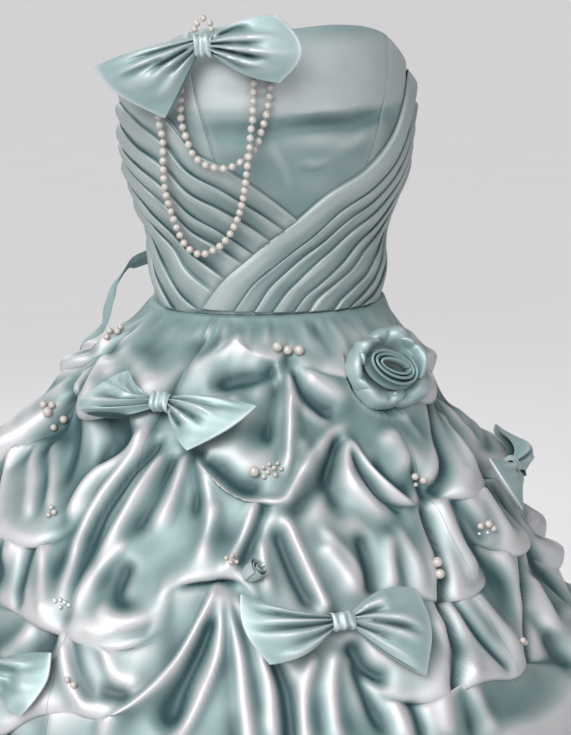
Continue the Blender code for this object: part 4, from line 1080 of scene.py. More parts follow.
    def drape(self, cloth: Cloth) -> Array:
        """Points of the hanging cloth."""
        puffs, drop, folds, falls = (np.zeros(cloth.azimuth.shape) for _ in range(4))
        tacks = list(self.front_tacks)
        for number, (ring, rise) in enumerate(zip(self.rings, self.rises)):
            for k, (left, right) in enumerate(zip(ring, ring[1:])):
                seed = 3.1 * number + 1.7 * k
                swag_between(left, right, rise).add_to(puffs, drop, cloth)
                for fold in self.swag_folds(left, right, rise, seed):
                    fold.add_to(folds, cloth)
                if k:
                    tacks.append(left)
                    for fold in self.rays(left, seed):
                        fold.add_to(folds, cloth)
        for number, azimuth in enumerate((-34.8, -10.0, 18.0, 44.3, *(tack.azimuth for tack in self.rings[-1][1:-1]))):
            for fold in self.long_folds(azimuth, 0.9 * number):
                fold.add_to(falls, cloth)
        for swag in self.front_swags:
            swag.add_to(puffs, drop, cloth)
            swag.rim().add_to(folds, cloth)
        for fold in self.front_folds:
            fold.add_to(folds, cloth)
        for tack in tacks:
            across = cloth.radius * np.radians(around(cloth.azimuth - tack.azimuth))
            reach = np.hypot(across, cloth.height - tack.height)
            puffs = puffs - 0.005 * np.exp(-(reach / 0.022) ** 2) - 0.004 * np.exp(-(reach / 0.008) ** 2)
        ahead = smooth_step((around(cloth.azimuth) + 96.0) / 24.0) * smooth_step((78.0 - around(cloth.azimuth)) / 24.0)
        puffs = puffs + self.front_lift * ahead * (1 - smooth_step((-cloth.height - 0.40) / 0.08))
        waist = smooth_step(-cloth.height / 0.030)
        lower = 1 - smooth_step((-cloth.height - 0.42) / 0.2)
        broad = 0.0035 * uneven(1.3, cloth.azimuth / 40.0, cloth.height * 7.0)
        small = 0.0004 * uneven(6.1, cloth.azimuth / 9.0, cloth.height * 34.0)
        gathers = 0.0006 * uneven(9.0, cloth.azimuth / 11.0, cloth.height * 8.0) * smooth_step((cloth.height + 0.03) / 0.02)
        ripples = 0.006 * smooth_step((-cloth.height - 0.5) / 0.3) * uneven(4.2, cloth.azimuth / 36.0, 0.3 * cloth.height)
        flutes = self.hem_flutes(cloth.azimuth, cloth.height)
        level = cloth.height - drop * waist
        base = SKIRT_FORM.place(cloth.azimuth, cloth.radius + puffs * waist + flutes + ripples, cloth.height, level)
        slope = (SKIRT_FORM.radius(0.0, cloth.height + 0.004) - SKIRT_FORM.radius(0.0, cloth.height - 0.004)) / 0.008
        out_a = np.radians(cloth.azimuth)
        lean = -slope / np.hypot(slope, 1.0)
        normals = np.stack(np.broadcast_arrays(np.sin(out_a) * np.sqrt(1 - lean ** 2),
                                               -np.cos(out_a) * np.sqrt(1 - lean ** 2), lean), axis=-1)
        relief = (folds * smooth_step(-cloth.height / 0.012) + broad * waist + small * waist + gathers
                  * smooth_step(-cloth.height / 0.008)) * lower
        return base + normals * (relief + falls)[..., None]

    def shape_cloth(self) -> None:
        """Work out the hanging cloth."""
        fine = np.arange(0.0, self.fine_to, -self.fine_step)
        coarse = self.fine_to + (self.hem - self.fine_to) * np.linspace(0.0, 1.0, self.coarse_rows) ** 1.35
        heights = np.concatenate((fine, coarse))
        azimuth = np.concatenate([np.linspace(start, end, columns, endpoint=False)
                                  for _, start, end, columns in self.gores])
        a, h = np.meshgrid(azimuth, heights)
        cloth = Cloth(a, h, SKIRT_FORM.radius(a, h), bell_down(h))
        h = self.spread_rows(cloth, self.drape(cloth))
        shape = self.drape(Cloth(a, h, SKIRT_FORM.radius(a, h), bell_down(h)))
        for _ in range(2):
            shape = (np.roll(shape, 1, axis=1) + 2 * shape + np.roll(shape, -1, axis=1)) / 4
            shape[1:-1] = (shape[:-2] + 2 * shape[1:-1] + shape[2:]) / 4
        turned_in = SKIRT_FORM.place(azimuth, SKIRT_FORM.radius(azimuth, 0.0) - 0.0065, np.zeros(len(azimuth)))
        self.shape = np.concatenate((turned_in[None] + np.array((0.0, 0.0, 0.0006)), shape))
        self.tree = self.surface_tree(self.shape)

    @staticmethod
    def spread_rows(cloth: Cloth, shape: Array) -> Array:
        """Heights of rows that lie closer where the cloth turns over."""
        longer = np.linalg.norm(np.diff(shape, axis=0), axis=2) / np.diff(cloth.down, axis=0)
        share = blurred(0.45 + 0.55 * np.clip(longer, 0.6, 5.0), 3, True)
        gone = np.concatenate((np.zeros((1, share.shape[1])), np.cumsum(share, axis=0)))
        heights = cloth.height[:, 0]
        evenly = np.linspace(0.0, 1.0, len(heights))
        return np.stack([np.interp(evenly * column[-1], column, heights) for column in gone.T], axis=1)

    @staticmethod
    def surface_tree(grid: Array) -> BVHTree:
        """The ring's surface, for finding what lies on it."""
        rows, columns = grid.shape[:2]
        index = np.arange(rows * columns).reshape(rows, columns)
        after = np.roll(index, -1, axis=1)
        faces = np.stack((index[:-1], index[1:], after[1:], after[:-1]), axis=-1).reshape(-1, 4)
        return BVHTree.FromPolygons([Vector(p) for p in grid.reshape(-1, 3)], faces.tolist())

    def clear(self, point: Array, clearance: float) -> Array:
        """The point, moved out from the axis until it is clear of the cloth."""
        shift = float(SKIRT_FORM.level("shift", min(point[2], 0.0)))
        level = Vector((point[0] - shift, point[1], 0.0))
        radius = level.length
        level.normalize()
        hit = self.tree.ray_cast(Vector((shift, 0.0, point[2])) + level * 2.0, -level)[0]
        if hit is None:
            return np.array(point)
        grown = max(radius, math.hypot(hit.x - shift, hit.y) + clearance)
        return np.array((shift + level.x * grown, level.y * grown, point[2]))

    def rest_on(self, point: Array, out: Array, gap: float) -> Array:
        """The point, moved along a direction until it lies on the cloth."""
        hit = self.tree.ray_cast(Vector(point + 0.06 * out), -Vector(out))[0]
        return self.clear(point, gap) if hit is None else np.array(hit) + gap * out

    def make_room(self, layers: Sequence[Array], gap: float = 0.0022) -> None:
        """Press the cloth in where a trim lies on it."""
        for layer in layers:
            rows, columns = layer.shape[:2]
            index = np.arange(rows * columns).reshape(rows, columns)
            faces = np.stack((index[:-1, :-1], index[1:, :-1], index[1:, 1:], index[:-1, 1:]), axis=-1)
            tree = BVHTree.FromPolygons([Vector(p) for p in layer.reshape(-1, 3)], faces.reshape(-1, 4).tolist())
            middle = layer.reshape(-1, 3).mean(axis=0)
            reach = np.linalg.norm(layer.reshape(-1, 3) - middle, axis=1).max() + 0.01
            for i, j in np.argwhere(np.linalg.norm(self.shape - middle, axis=2) < reach):
                point = self.shape[i, j]
                shift = float(SKIRT_FORM.level("shift", point[2]))
                axis = Vector((shift, 0.0, point[2]))
                level = Vector((point[0] - shift, point[1], 0.0))
                radius = level.length
                hit = tree.ray_cast(axis, level.normalized())[0]
                if hit is None:
                    continue
                allowed = (hit - axis).length - gap
                if radius > allowed:
                    self.shape[i, j] = np.array(axis + level.normalized() * allowed)
        self.tree = self.surface_tree(self.shape)

    def build(self, wardrobe: Wardrobe) -> None:
        """Make the five gores."""
        # depth and crest set the skirt's painted shade in the folds and painted highlight on the crests; the painted
        # highlight fades out just under the waist.
        depth, crest = layered_depth(self.shape, closed=True)
        crest = crest * smooth_step((-self.shape[..., 2] - 0.003) / 0.016)
        first = 0
        for name, _, _, count in self.gores:
            columns = np.arange(first, first + count + 1) % self.shape.shape[1]
            first += count
            grid = self.shape[:, columns].copy()
            for edge, inward in ((0, 1), (-1, -2)):
                grid[:, edge] += unit(grid[:, inward] - grid[:, edge]) * SEAM_GAP / 2
            cloth = ClothPiece(name + "_cloth", grid, self.thickness, depth=depth[:, columns], crest=crest[:, columns])
            piece = dress(cloth.build(wardrobe.skirt), "skirt_satin", name)
            declare_sheet(piece, grid)


# ---------------------------------------------------------------- bodice
@dataclass(frozen=True)
class Crease:
    """A soft ridge or trough: its route in azimuth and height, its half width and how far it stands out."""

    route: tuple[tuple[float, float], ...]
    width: float
    rise: float

    def at(self, azimuth: Array, height: Array) -> Array:
        """How far the crease moves the cloth out at each place."""
        scale = math.radians(1.0) * 0.13        # metres for a degree round the bust
        best = np.full(np.broadcast(azimuth, height).shape, np.inf)
        share = np.zeros(best.shape)
        spots = [np.array((a * scale, h)) for a, h in self.route]
        lengths = [float(np.linalg.norm(b - a)) for a, b in zip(spots, spots[1:])]
        whole, gone = sum(lengths), 0.0
        for a, b, length in zip(spots, spots[1:], lengths):
            dx, dy = azimuth * scale - a[0], height - a[1]
            t = np.clip((dx * (b - a)[0] + dy * (b - a)[1]) / length ** 2, 0.0, 1.0)
            away = np.hypot(dx - t * (b - a)[0], dy - t * (b - a)[1])
            nearer = away < best
            best = np.where(nearer, away, best)
            share = np.where(nearer, (gone + t * length) / whole, share)
            gone += length
        taper = np.sin(math.pi * np.clip(share * 0.94 + 0.03, 0.0, 1.0)) ** 0.5
        return self.rise * taper * np.exp(-(best / self.width) ** 2)


@dataclass
class Bodice:
    """Boned bodice in five panels between princess, side and centre-back seams."""

    side_seam: float = 92.0
    seam_turn: float = 4.0           # how far the front panel is turned to the right
    thickness: float = 0.0012
    neckline: tuple[tuple[float, float], ...] = (
        (0.0, 0.284), (28.0, 0.287), (42.0, 0.2835), (52.0, 0.276), (62.0, 0.260), (76.0, 0.243), (92.0, 0.232),
        (120.0, 0.216), (180.0, 0.202))
    princess: tuple[tuple[float, float], ...] = (
        (0.0, 26.0), (0.06, 30.0), (0.16, 39.0), (0.20, 43.5), (0.25, 49.5), (0.28, 51.0))
    creases: tuple[Crease, ...] = (
        Crease(((-6.0, 0.2030), (14.0, 0.2080), (28.0, 0.2090), (50.0, 0.2180)), 0.0023, 0.0030),
        Crease(((-8.0, 0.1920), (14.0, 0.1950), (30.0, 0.1950), (48.0, 0.2020)), 0.0110, -0.0050),
        Crease(((-4.0, 0.2350), (14.0, 0.2380), (30.0, 0.2380), (46.0, 0.2400)), 0.0150, 0.0030),
        Crease(((-34.0, 0.1900), (-20.0, 0.1860), (-8.0, 0.1880)), 0.0120, -0.0030),
        Crease(((16.0, 0.2570), (30.0, 0.2600), (44.0, 0.2560)), 0.0090, 0.0016),
        Crease(((10.0, 0.2400), (26.0, 0.2380), (40.0, 0.2410)), 0.0080, -0.0014),
        Crease(((8.0, 0.1560), (15.0, 0.1530), (20.0, 0.1580)), 0.0026, 0.0012),
        Crease(((6.0, 0.1470), (13.0, 0.1450), (19.0, 0.1490)), 0.0030, -0.0012),
        Crease(((24.0, 0.1700), (32.0, 0.1740), (38.0, 0.1800)), 0.0050, 0.0012),
        Crease(((-30.0, 0.2250), (-12.0, 0.2200), (2.0, 0.2240)), 0.0070, -0.0012),
        Crease(((-8.0, 0.1700), (-2.0, 0.1500), (2.0, 0.1300)), 0.0060, 0.0010),
        Crease(((150.0, 0.1900), (166.0, 0.1600), (176.0, 0.1500)), 0.0060, 0.0012),
        Crease(((-176.0, 0.1500), (-160.0, 0.1640), (-146.0, 0.1880)), 0.0060, 0.0012))

    def top(self, azimuth: Array | float) -> Array:
        """Height of the top edge."""
        return smooth_through([a for a, _ in self.neckline], [h for _, h in self.neckline],
                              np.abs(around(azimuth)))

    def seam(self, side: Side, height: Array | float) -> Array:
        """Azimuth of a princess seam."""
        aside = smooth_through([h for h, _ in self.princess], [a for _, a in self.princess], height)
        return side.value * aside + self.seam_turn

    def relief(self, azimuth: Array, height: Array) -> Array:
        """How far the cloth's own creases stand out."""
        out = sum(crease.at(azimuth, height) for crease in self.creases)
        return out + 0.0005 * uneven(2.0, azimuth / 60.0, height * 9.0)

    def panel(self, left: Callable[[Array], Array], right: Callable[[Array], Array], columns: int,
              rows: int = 84) -> Array:
        """A panel's grid between two seams, each a function of height."""
        down = np.linspace(1.0, 0.0, rows)[:, None]
        across = np.linspace(0.0, 1.0, columns)[None, :]
        height = np.full((rows, columns), 0.1)
        for _ in range(5):
            azimuth = left(height) + (right(height) - left(height)) * across
            height = SEAM_GAP + (self.top(azimuth) - SEAM_GAP) * down
        edge = np.minimum(across, 1 - across) * np.abs(right(0.15) - left(0.15)) * math.radians(1) * 0.13
        groove = -0.0011 * np.exp(-(edge / 0.0022) ** 2)
        lip = 0.0007 * np.exp(-(((self.top(azimuth) - height) - 0.002) / 0.003) ** 2)
        grid = BODICE_FORM.point(azimuth, height, self.relief(azimuth, height) + groove + lip)
        for side, inward in ((0, 1), (-1, -2)):
            grid[:, side] += unit(grid[:, inward] - grid[:, side]) * SEAM_GAP / 2
        return grid

    def stitches(self, wardrobe: Wardrobe) -> None:
        """Short stitches beside the princess seams."""
        deselect()
        bpy.ops.mesh.primitive_cylinder_add(vertices=8, radius=0.00030, depth=0.0026, location=(0, 0, 0))
        rod = bpy.context.active_object
        apply_modifier(rod, "BEVEL", width=0.00018, segments=2, limit_method="ANGLE")
        stitch = Template.taken_from(rod)
        for side, label in ((Side.LEFT, "left"), (Side.RIGHT, "right")):
            places = []
            for k in range(38):
                height = 0.136 + 0.0038 * k
                azimuth = float(self.seam(side, height)) - side.value * 1.1
                if height > float(self.top(azimuth)) - 0.003:
                    continue
                here, right, up, out = BODICE_FORM.axes(azimuth, height)
                ahead = BODICE_FORM.point(float(self.seam(side, height + 0.004)) - side.value * 1.1, height + 0.004)
                along = unit(ahead - here)
                cross = unit(np.cross(out, along))
                places.append((here + out * 0.0004, np.array((cross, out, along)), 1.0))
            dress(stitch.repeat(f"princess_stitches_{label}", places, wardrobe.thread), "bodice_satin")

    def build(self, wardrobe: Wardrobe) -> None:
        """Make the five panels and the stitching."""
        def fixed(azimuth: float) -> Callable[[Array], Array]:
            return lambda height: np.full(np.shape(height), azimuth)

        def princess(side: Side) -> Callable[[Array], Array]:
            return lambda height: self.seam(side, height)

        side = self.side_seam
        panels = (("bodice_center_front", princess(Side.LEFT), princess(Side.RIGHT), 96),
                  ("bodice_side_front_left", fixed(-side), princess(Side.LEFT), 48),
                  ("bodice_side_front_right", princess(Side.RIGHT), fixed(side), 48),
                  ("bodice_back_left", fixed(-180.0), fixed(-side), 64),
                  ("bodice_back_right", fixed(side), fixed(180.0), 64))
        for name, left, right, columns in panels:
            grid = self.panel(left, right, columns)
            depth, crest = fold_depth(grid, 4, 0.002)
            level = grid[..., 2]
            # Painted light on the front: lustre is a painted highlight on the upper bust, shade a painted shade band
            # under the bust crease, below a painted shade over the front under the bust, and line a painted highlight
            # along the bust crease.
            lustre = smooth_step((level - 0.200) / 0.012) * (1 - smooth_step((level - 0.262) / 0.03))
            shade = np.exp(-((level - 0.192) / 0.009) ** 2) * smooth_step((-grid[..., 1] - 0.05) / 0.05)
            below = 0.16 * (1 - smooth_step((level - 0.188) / 0.014)) * (grid[..., 1] < 0.0)
            azimuth = np.degrees(np.arctan2(grid[..., 0], -grid[..., 1]))
            line = self.creases[0].at(azimuth, level) / self.creases[0].rise
            # The painted shade goes into depth and the painted highlights into crest; the painted shade is taken away
            # along the crease.
            depth = np.maximum(depth, 0.28 * shade + below) * (1 - line)
            cloth = ClothPiece(name + "_cloth", grid, self.thickness, depth=depth,
                               crest=np.maximum(crest, np.maximum(0.75 * lustre, line)))
            piece = dress(cloth.build(wardrobe.bodice), "bodice_satin", name)
            declare_sheet(piece, grid)
        self.stitches(wardrobe)


@dataclass(frozen=True)
class WrapEdge:
    """One place on a wrap's edge: station 0 is the front end, 1 the side, 2 the centre back."""

    station: float
    azimuth: float
    height: float


def wrap_edge(*rows: tuple[float, float, float]) -> tuple[WrapEdge, ...]:
    """An edge from rows of station, azimuth and height."""
    return tuple(WrapEdge(*row) for row in rows)


@dataclass
class Wrap:
    """A pleated wrap from the front, round the side, to the centre back."""

    name: str
    side: Side
    top: tuple[WrapEdge, ...]
    foot: tuple[WrapEdge, ...]
    widths: tuple[float, ...]        # shares of the nine pleats, from the top edge to the waist
    seed: float
    base: float = 0.0034
    pleat_height: float = 0.0036
    side_puff: float = 0.0034
    back_room: float = 0.0016
    stations: int = 150
    rows_in_pleat: int = 14
    thickness: float = 0.0007
    pressed: Callable[[Array, Array], Array] = lambda azimuth, height: np.zeros(np.shape(azimuth))

    def edge(self, rows: tuple[WrapEdge, ...], station: Array, column: str) -> Array:
        """One column of an edge at a station."""
        return smooth_through([row.station for row in rows], [getattr(row, column) for row in rows], station)

    def pleat(self, t: Array) -> Array:
        """Section of one pleat: a rolled fold at its top, then a slope under the next."""
        lip = smooth_step(t / 0.09)
        fall = (1 - smooth_step((t - 0.05) / 1.05)) ** 0.8
        return lip * fall

    @staticmethod
    def round_fold(t: Array) -> Array:
        """Section of a pleat where it is drawn together at the side."""
        return 1.7 * np.sin(math.pi * np.clip(t, 0.0, 1.0)) ** 1.2

    def grid(self) -> Array:
        """The pleated cloth."""
        edges = np.concatenate(([0.0], np.cumsum(self.widths) / sum(self.widths)))
        spots = np.concatenate((0.0 * np.ones(1), np.array((0.012, 0.035, 0.07, 0.11, 0.17, 0.25, 0.34, 0.45, 0.57,
                                                            0.69, 0.80, 0.90, 0.97))))
        pleats = len(self.widths)
        k = np.repeat(np.arange(pleats), len(spots))
        t = np.tile(spots, pleats)
        k, t = np.append(k, pleats - 1), np.append(t, 1.0)
        station = np.linspace(0.0, 2.0, self.stations) ** 1.0
        k2, s2 = k[:, None] + 0.0 * station[None, :], station[None, :] + 0.0 * k[:, None]
        t2 = t[:, None] + 0.0 * s2
        wander = 0.16 * uneven(self.seed, k2 * 0.37, s2 * 0.8)
        low = np.interp(k2, range(pleats + 1), edges)
        high = np.interp(k2 + 1, range(pleats + 1), edges)
        inner_low = (k2 > 0) * wander * (high - low)
        wander_next = 0.16 * uneven(self.seed, (k2 + 1) * 0.37, s2 * 0.8)
        inner_high = (k2 < pleats - 1) * wander_next * (high - low)
        across = (low + inner_low) * (1 - t2) + (high + inner_high) * t2
        puff = np.exp(-((s2 - 0.95) / 0.22) ** 2) * (1 - across) ** 0.8
        flat = np.where(s2 > 1.3, 0.45 + 0.55 * smooth_step((1.5 - s2) / 0.2), 1.0)
        room = self.back_room * np.clip((s2 - 0.8) / 0.2, 0.0, 1.0)
        height_of = 1 + 0.30 * uneven(self.seed + 5, k2 * 0.7, s2 * 1.3)
        drawn = 0.75 * np.exp(-((s2 - 0.92) / 0.26) ** 2)
        section = self.pleat(t2) * (1 - drawn) + self.round_fold(t2) * drawn
        fold = self.pleat_height * section * flat * height_of
        crumple = 0.00045 * uneven(self.seed + 2, across * 16.0, s2 * 2.2) * self.pleat(t2) ** 0.3
        crumple = crumple + 0.0007 * uneven(self.seed + 7, across * 6.0, s2 * 4.0) * puff
        hugs = 0.35 + 0.65 * smooth_step(across / 0.10)
        azimuth = (1 - across) * self.edge(self.top, s2, "azimuth") + across * self.edge(self.foot, s2, "azimuth")
        height = (1 - across) * self.edge(self.top, s2, "height") + across * self.edge(self.foot, s2, "height")
        hang = -0.0016 * np.exp(-(t2 / 0.05) ** 2) * (t2 > 0)
        over = height - SEAM_LEVEL
        root = np.sqrt(over ** 2 + 0.0016 ** 2)
        seen = (1 + over / root) / 2
        proud = (self.base + room) * hugs + (self.side_puff * puff * hugs + fold + crumple) * seen
        proud = proud + (0.0014 - proud) * self.pressed(azimuth, height)
        points = BODICE_FORM.point(azimuth, SEAM_LEVEL + (over + root) / 2 + hang * seen, proud)
        return points if self.side is Side.RIGHT else points[:, ::-1]

    def build(self, wardrobe: Wardrobe) -> bpy.types.Object:
        """Make the wrap."""
        grid = self.grid()
        cloth = ClothPiece(self.name + "_cloth", grid, self.thickness, fold_reach=6, fold_full=0.0014)
        piece = dress(cloth.build(wardrobe.wrap), "bodice_satin", self.name)
        declare_sheet(piece, grid)
        return piece


def make_wraps() -> tuple[Wrap, Wrap]:
    """The under wrap from the left and the over wrap from the right."""
    right_top = wrap_edge((0.0, -48.5, 0.0060), (0.08, -37.5, 0.0345), (0.18, -23.5, 0.0573), (0.28, -8.8, 0.0780),
                          (0.39, 5.6, 0.0970), (0.50, 21.8, 0.1240), (0.62, 42.0, 0.1500), (0.69, 54.0, 0.1760),
                          (0.76, 64.0, 0.2080), (0.85, 74.0, 0.2340), (1.0, 92.0, 0.2290), (1.4, 126.0, 0.2100),
                          (2.0, 177.2, 0.1970))
    left_top = wrap_edge((0.0, 14.0, 0.0870), (0.12, -3.0, 0.1130), (0.24, -18.1, 0.136), (0.35, -29.0, 0.152),
                         (0.50, -43.9, 0.171), (0.60, -53.0, 0.196), (0.77, -69.3, 0.215), (1.0, -92.0, 0.226),
                         (1.4, -126.0, 0.210), (2.0, -177.2, 0.197))
    left_foot = wrap_edge((0.0, -20.0, -0.0500), (0.25, -44.0, -0.0400), (0.5, -63.0, -0.0180), (0.75, -78.0, 0.0120),
                          (1.0, -92.0, 0.0460), (1.4, -126.0, 0.0600), (2.0, -177.2, 0.0700))
    right_foot = wrap_edge((0.0, 60.0, 0.0008), (0.3, 68.0, 0.0060), (0.5, 74.0, 0.0160), (0.75, 83.0, 0.0400),
                           (1.0, 92.0, 0.0700), (1.4, 126.0, 0.0800), (2.0, 177.2, 0.0760))

    def pressed(azimuth: Array, height: Array) -> Array:
        """How far the under wrap is pressed flat beneath the over wrap, from 0 to 1."""
        edge = smooth_through([row.azimuth for row in right_top], [row.height for row in right_top], azimuth)
        return np.where(azimuth > -52.0, smooth_step((edge - height) / 0.006), 0.0)

    left = Wrap("wrap_left", Side.LEFT, left_top, left_foot, (1.1, 0.9, 1.15, 0.85, 1.05, 1.0, 1.2, 0.9, 0.95), 1.0,
                pressed=pressed)
    right = Wrap("wrap_right", Side.RIGHT, right_top, right_foot,
                 (1.5, 1.0, 0.9, 1.1, 0.95, 1.05, 0.9, 0.85, 0.8), 3.0, base=0.0040, pleat_height=0.0030)
    return left, right


# ---------------------------------------------------------------- bows
@dataclass(frozen=True)
class Fold:
    """A fold of a bow loop. Places across the loop run from 0 at its upper edge to 1 at its lower edge."""

    near: float                      # where it leaves the knot
    far: float                       # where it ends
    width: float
    rise: float                      # metres; below 0 it is a trough
    start: float = 0.0               # stretch over which it runs, as shares of the loop's length
    end: float = 0.8

    def at(self, s: Array, t: Array) -> Array:
        """How far the fold moves the cloth out."""
        middle = self.near + (self.far - self.near) * np.clip((s - self.start) / (self.end - self.start), 0, 1)
        away = (t - middle) / self.width
        begins = smooth_step((s - self.start) / 0.10 + (self.start == 0.0))
        ends = 1 - smooth_step((s - self.start - 0.55 * (self.end - self.start)) / (0.45 * (self.end - self.start)))
        return self.rise * begins * ends * np.exp(-away ** 2)


@dataclass(frozen=True)
class Loop:
    """A bow loop: its two outer corners from the knot, in metres to the right and up along the cloth."""

    side: Side
    upper: tuple[float, float]
    lower: tuple[float, float]
    bulge: float                     # how far the outer edge bows out
    puff: float                      # how far the front stands off the back
    folds: tuple[Fold, ...]
    arch_upper: float = 0.0
    arch_lower: float = 0.0

    def flat(self, s: Array, t: Array, start_x: float, start_y: float) -> Array:
        """Place across the cloth of a spot of the loop."""
        side = self.side.value
        corner = (np.array(self.upper) * (1 - t)[..., None] + np.array(self.lower) * t[..., None]
                  + np.array((side, 0.0)) * self.bulge * np.sin(math.pi * t)[..., None])
        start = np.stack((np.full(t.shape, start_x), start_y * (0.36 - 0.72 * t)), axis=-1)
        flat = start * (1 - s)[..., None] + corner * s[..., None]
        arch = self.arch_upper * (1 - t) ** 2 + self.arch_lower * t ** 2
        flat[..., 1] += arch * np.sin(math.pi * s)
        return flat

    def lift(self, s: Array, t: Array) -> Array:
        """How far the front stands out."""
        puff = self.puff * np.sin(math.pi * (0.12 + 0.80 * s)) * (0.35 + 0.65 * np.sin(math.pi * t))
        crumple = 0.0011 * uneven(40 * self.upper[1] + 3, 0.9 * s, 1.6 * t) * np.sin(math.pi * s) ** 0.5
        return 0.007 + puff + crumple + sum(fold.at(s, t) for fold in self.folds)


@dataclass
class Bow:
    """A tied bow: loops of folded satin and a knot band."""

    name: str
    azimuth: float
    height: float
    stand_off: float
    knot_width: float
    knot_height: float
    loops: tuple[Loop, ...]
    thickness: float = 0.0007
    grids: dict[Side, list[Array]] = field(default_factory=dict)

    def axes(self) -> tuple[Array, Array, Array, Array]:
        """Place and directions of the knot."""
        form = BODICE_FORM if self.height > 0 else SKIRT_FORM
        place, right, up, out = form.axes(self.azimuth, self.height)
        if self.height > 0:
            up = np.array((0.0, 0.0, 1.0))
            out = np.cross(right, up)
        return place + out * self.stand_off, right, up, out

    def base(self, flat: Array, clear: Callable[[Array, float], Array]) -> Array:
        """Where the loop lies: read on a few spots that are clear of the cloth, smooth between."""
        origin, right, up, out = self.axes()
        rows, columns = 6, 5
        i = np.linspace(0, flat.shape[0] - 1, rows).round().astype(int)
        j = np.linspace(0, flat.shape[1] - 1, columns).round().astype(int)
        plane = origin + flat[..., :1] * right + flat[..., 1:] * up
        few = np.array([[clear(plane[a, b], 0.0045) - plane[a, b] for b in j] for a in i])
        across = np.array([[smooth_through(j, few[a, :, k], np.arange(flat.shape[1])) for k in range(3)]
                           for a in range(rows)])
        both = np.array([[smooth_through(i, across[:, k, b], np.arange(flat.shape[0]))
                          for b in range(flat.shape[1])] for k in range(3)])
        return plane + both.transpose(2, 1, 0)

    def loop_grid(self, loop: Loop, clear: Callable[[Array, float], Array], rows: int = 40,
                  columns: int = 42) -> Array:
        """One strip: out from the knot, round its outer edge and back behind."""
        origin, right, up, out = self.axes()
        side = loop.side.value
        t, s = np.meshgrid(np.linspace(0, 1, rows), np.linspace(0, 1, columns), indexing="ij")
        flat = loop.flat(s, t, side * (self.knot_width / 2 - 0.0015), self.knot_height)
        ground = self.base(flat, clear)
        front = ground + out * loop.lift(s, t)[..., None]
        behind = (ground + out * 0.003)[:, ::6]
        ahead = unit((front[:, -1] - front[:, -4]) - out * ((front[:, -1] - front[:, -4]) @ out)[:, None])
        middle, half = (front[:, -1] + behind[:, -1]) / 2, (front[:, -1] - behind[:, -1]) / 2
        turn = [middle + half * math.cos(a) + ahead * np.linalg.norm(half, axis=1)[:, None] * 0.75 * math.sin(a)
                for a in np.radians((22, 45, 68, 90, 112, 135, 158))]
        strip = np.concatenate((front, np.stack(turn, axis=1), behind[:, ::-1]), axis=1)
        return strip if side > 0 else strip[:, ::-1]

    def knot_grid(self, rows: int = 34, columns: int = 26) -> Array:
        """The band over the gathered middle, from above, over the front, to below."""
        origin, right, up, out = self.axes()
        turn = np.radians(np.linspace(-128, 128, rows))[:, None]
        x = np.linspace(-1, 1, columns)[None, :]
        waist = 1 - 0.10 * np.cos(math.pi * x / 2) * np.abs(np.sin(turn))
        pleat = 0.0006 * np.cos(x * 5.2 + 0.8 * turn) + 0.0005 * np.cos(x * 9.0 - turn + 1.0)
        rim = -0.0014 * np.abs(x) ** 6
        tall = (self.knot_height / 2) * waist + pleat + rim
        deep = 0.0085 + pleat + rim - 0.0010 * x ** 2
        power = 0.75
        high = -np.sign(np.sin(turn)) * np.abs(np.sin(turn)) ** power * tall
        front = np.sign(np.cos(turn)) * np.abs(np.cos(turn)) ** power * deep
        wide = x * self.knot_width / 2 * (1 + 0.05 * np.sin(turn) ** 2)
        return (origin + out * 0.0105 + right * np.broadcast_to(wide, tall.shape)[..., None]
                + up * high[..., None] + out * front[..., None])

    def lay_out(self, skirt: Skirt) -> list[Array]:
        """Work out the loops and return those that press on the skirt."""
        clear = skirt.clear if self.height < 0 else clear_of_bodice
        for loop in self.loops:
            self.grids.setdefault(loop.side, []).append(self.loop_grid(loop, clear))
        return [grid for grids in self.grids.values() for grid in grids] if self.height < 0 else []

    def build(self, wardrobe: Wardrobe, rests_on: Sequence[str]) -> None:
        """Make the loops and the knot."""
        for side, grids in self.grids.items():
            label = f"{self.name}_loop_{side.name.lower()}"
            pieces = []
            for grid in grids:
                cloth = ClothPiece(label + "_satin", grid, self.thickness, fold_reach=5, fold_full=0.0030)
                pieces.append(cloth.build(wardrobe.trim))
            piece = joined(pieces)
            dress(piece, "trim_satin", label)
            declare_sheet(piece, grids)
        grid = self.knot_grid()
        cloth = ClothPiece(self.name + "_knot_satin", grid, self.thickness, fold_reach=3, fold_full=0.0010)
        piece = dress(cloth.build(wardrobe.trim), "trim_satin", self.name + "_knot")
        declare_sheet(piece, grid)


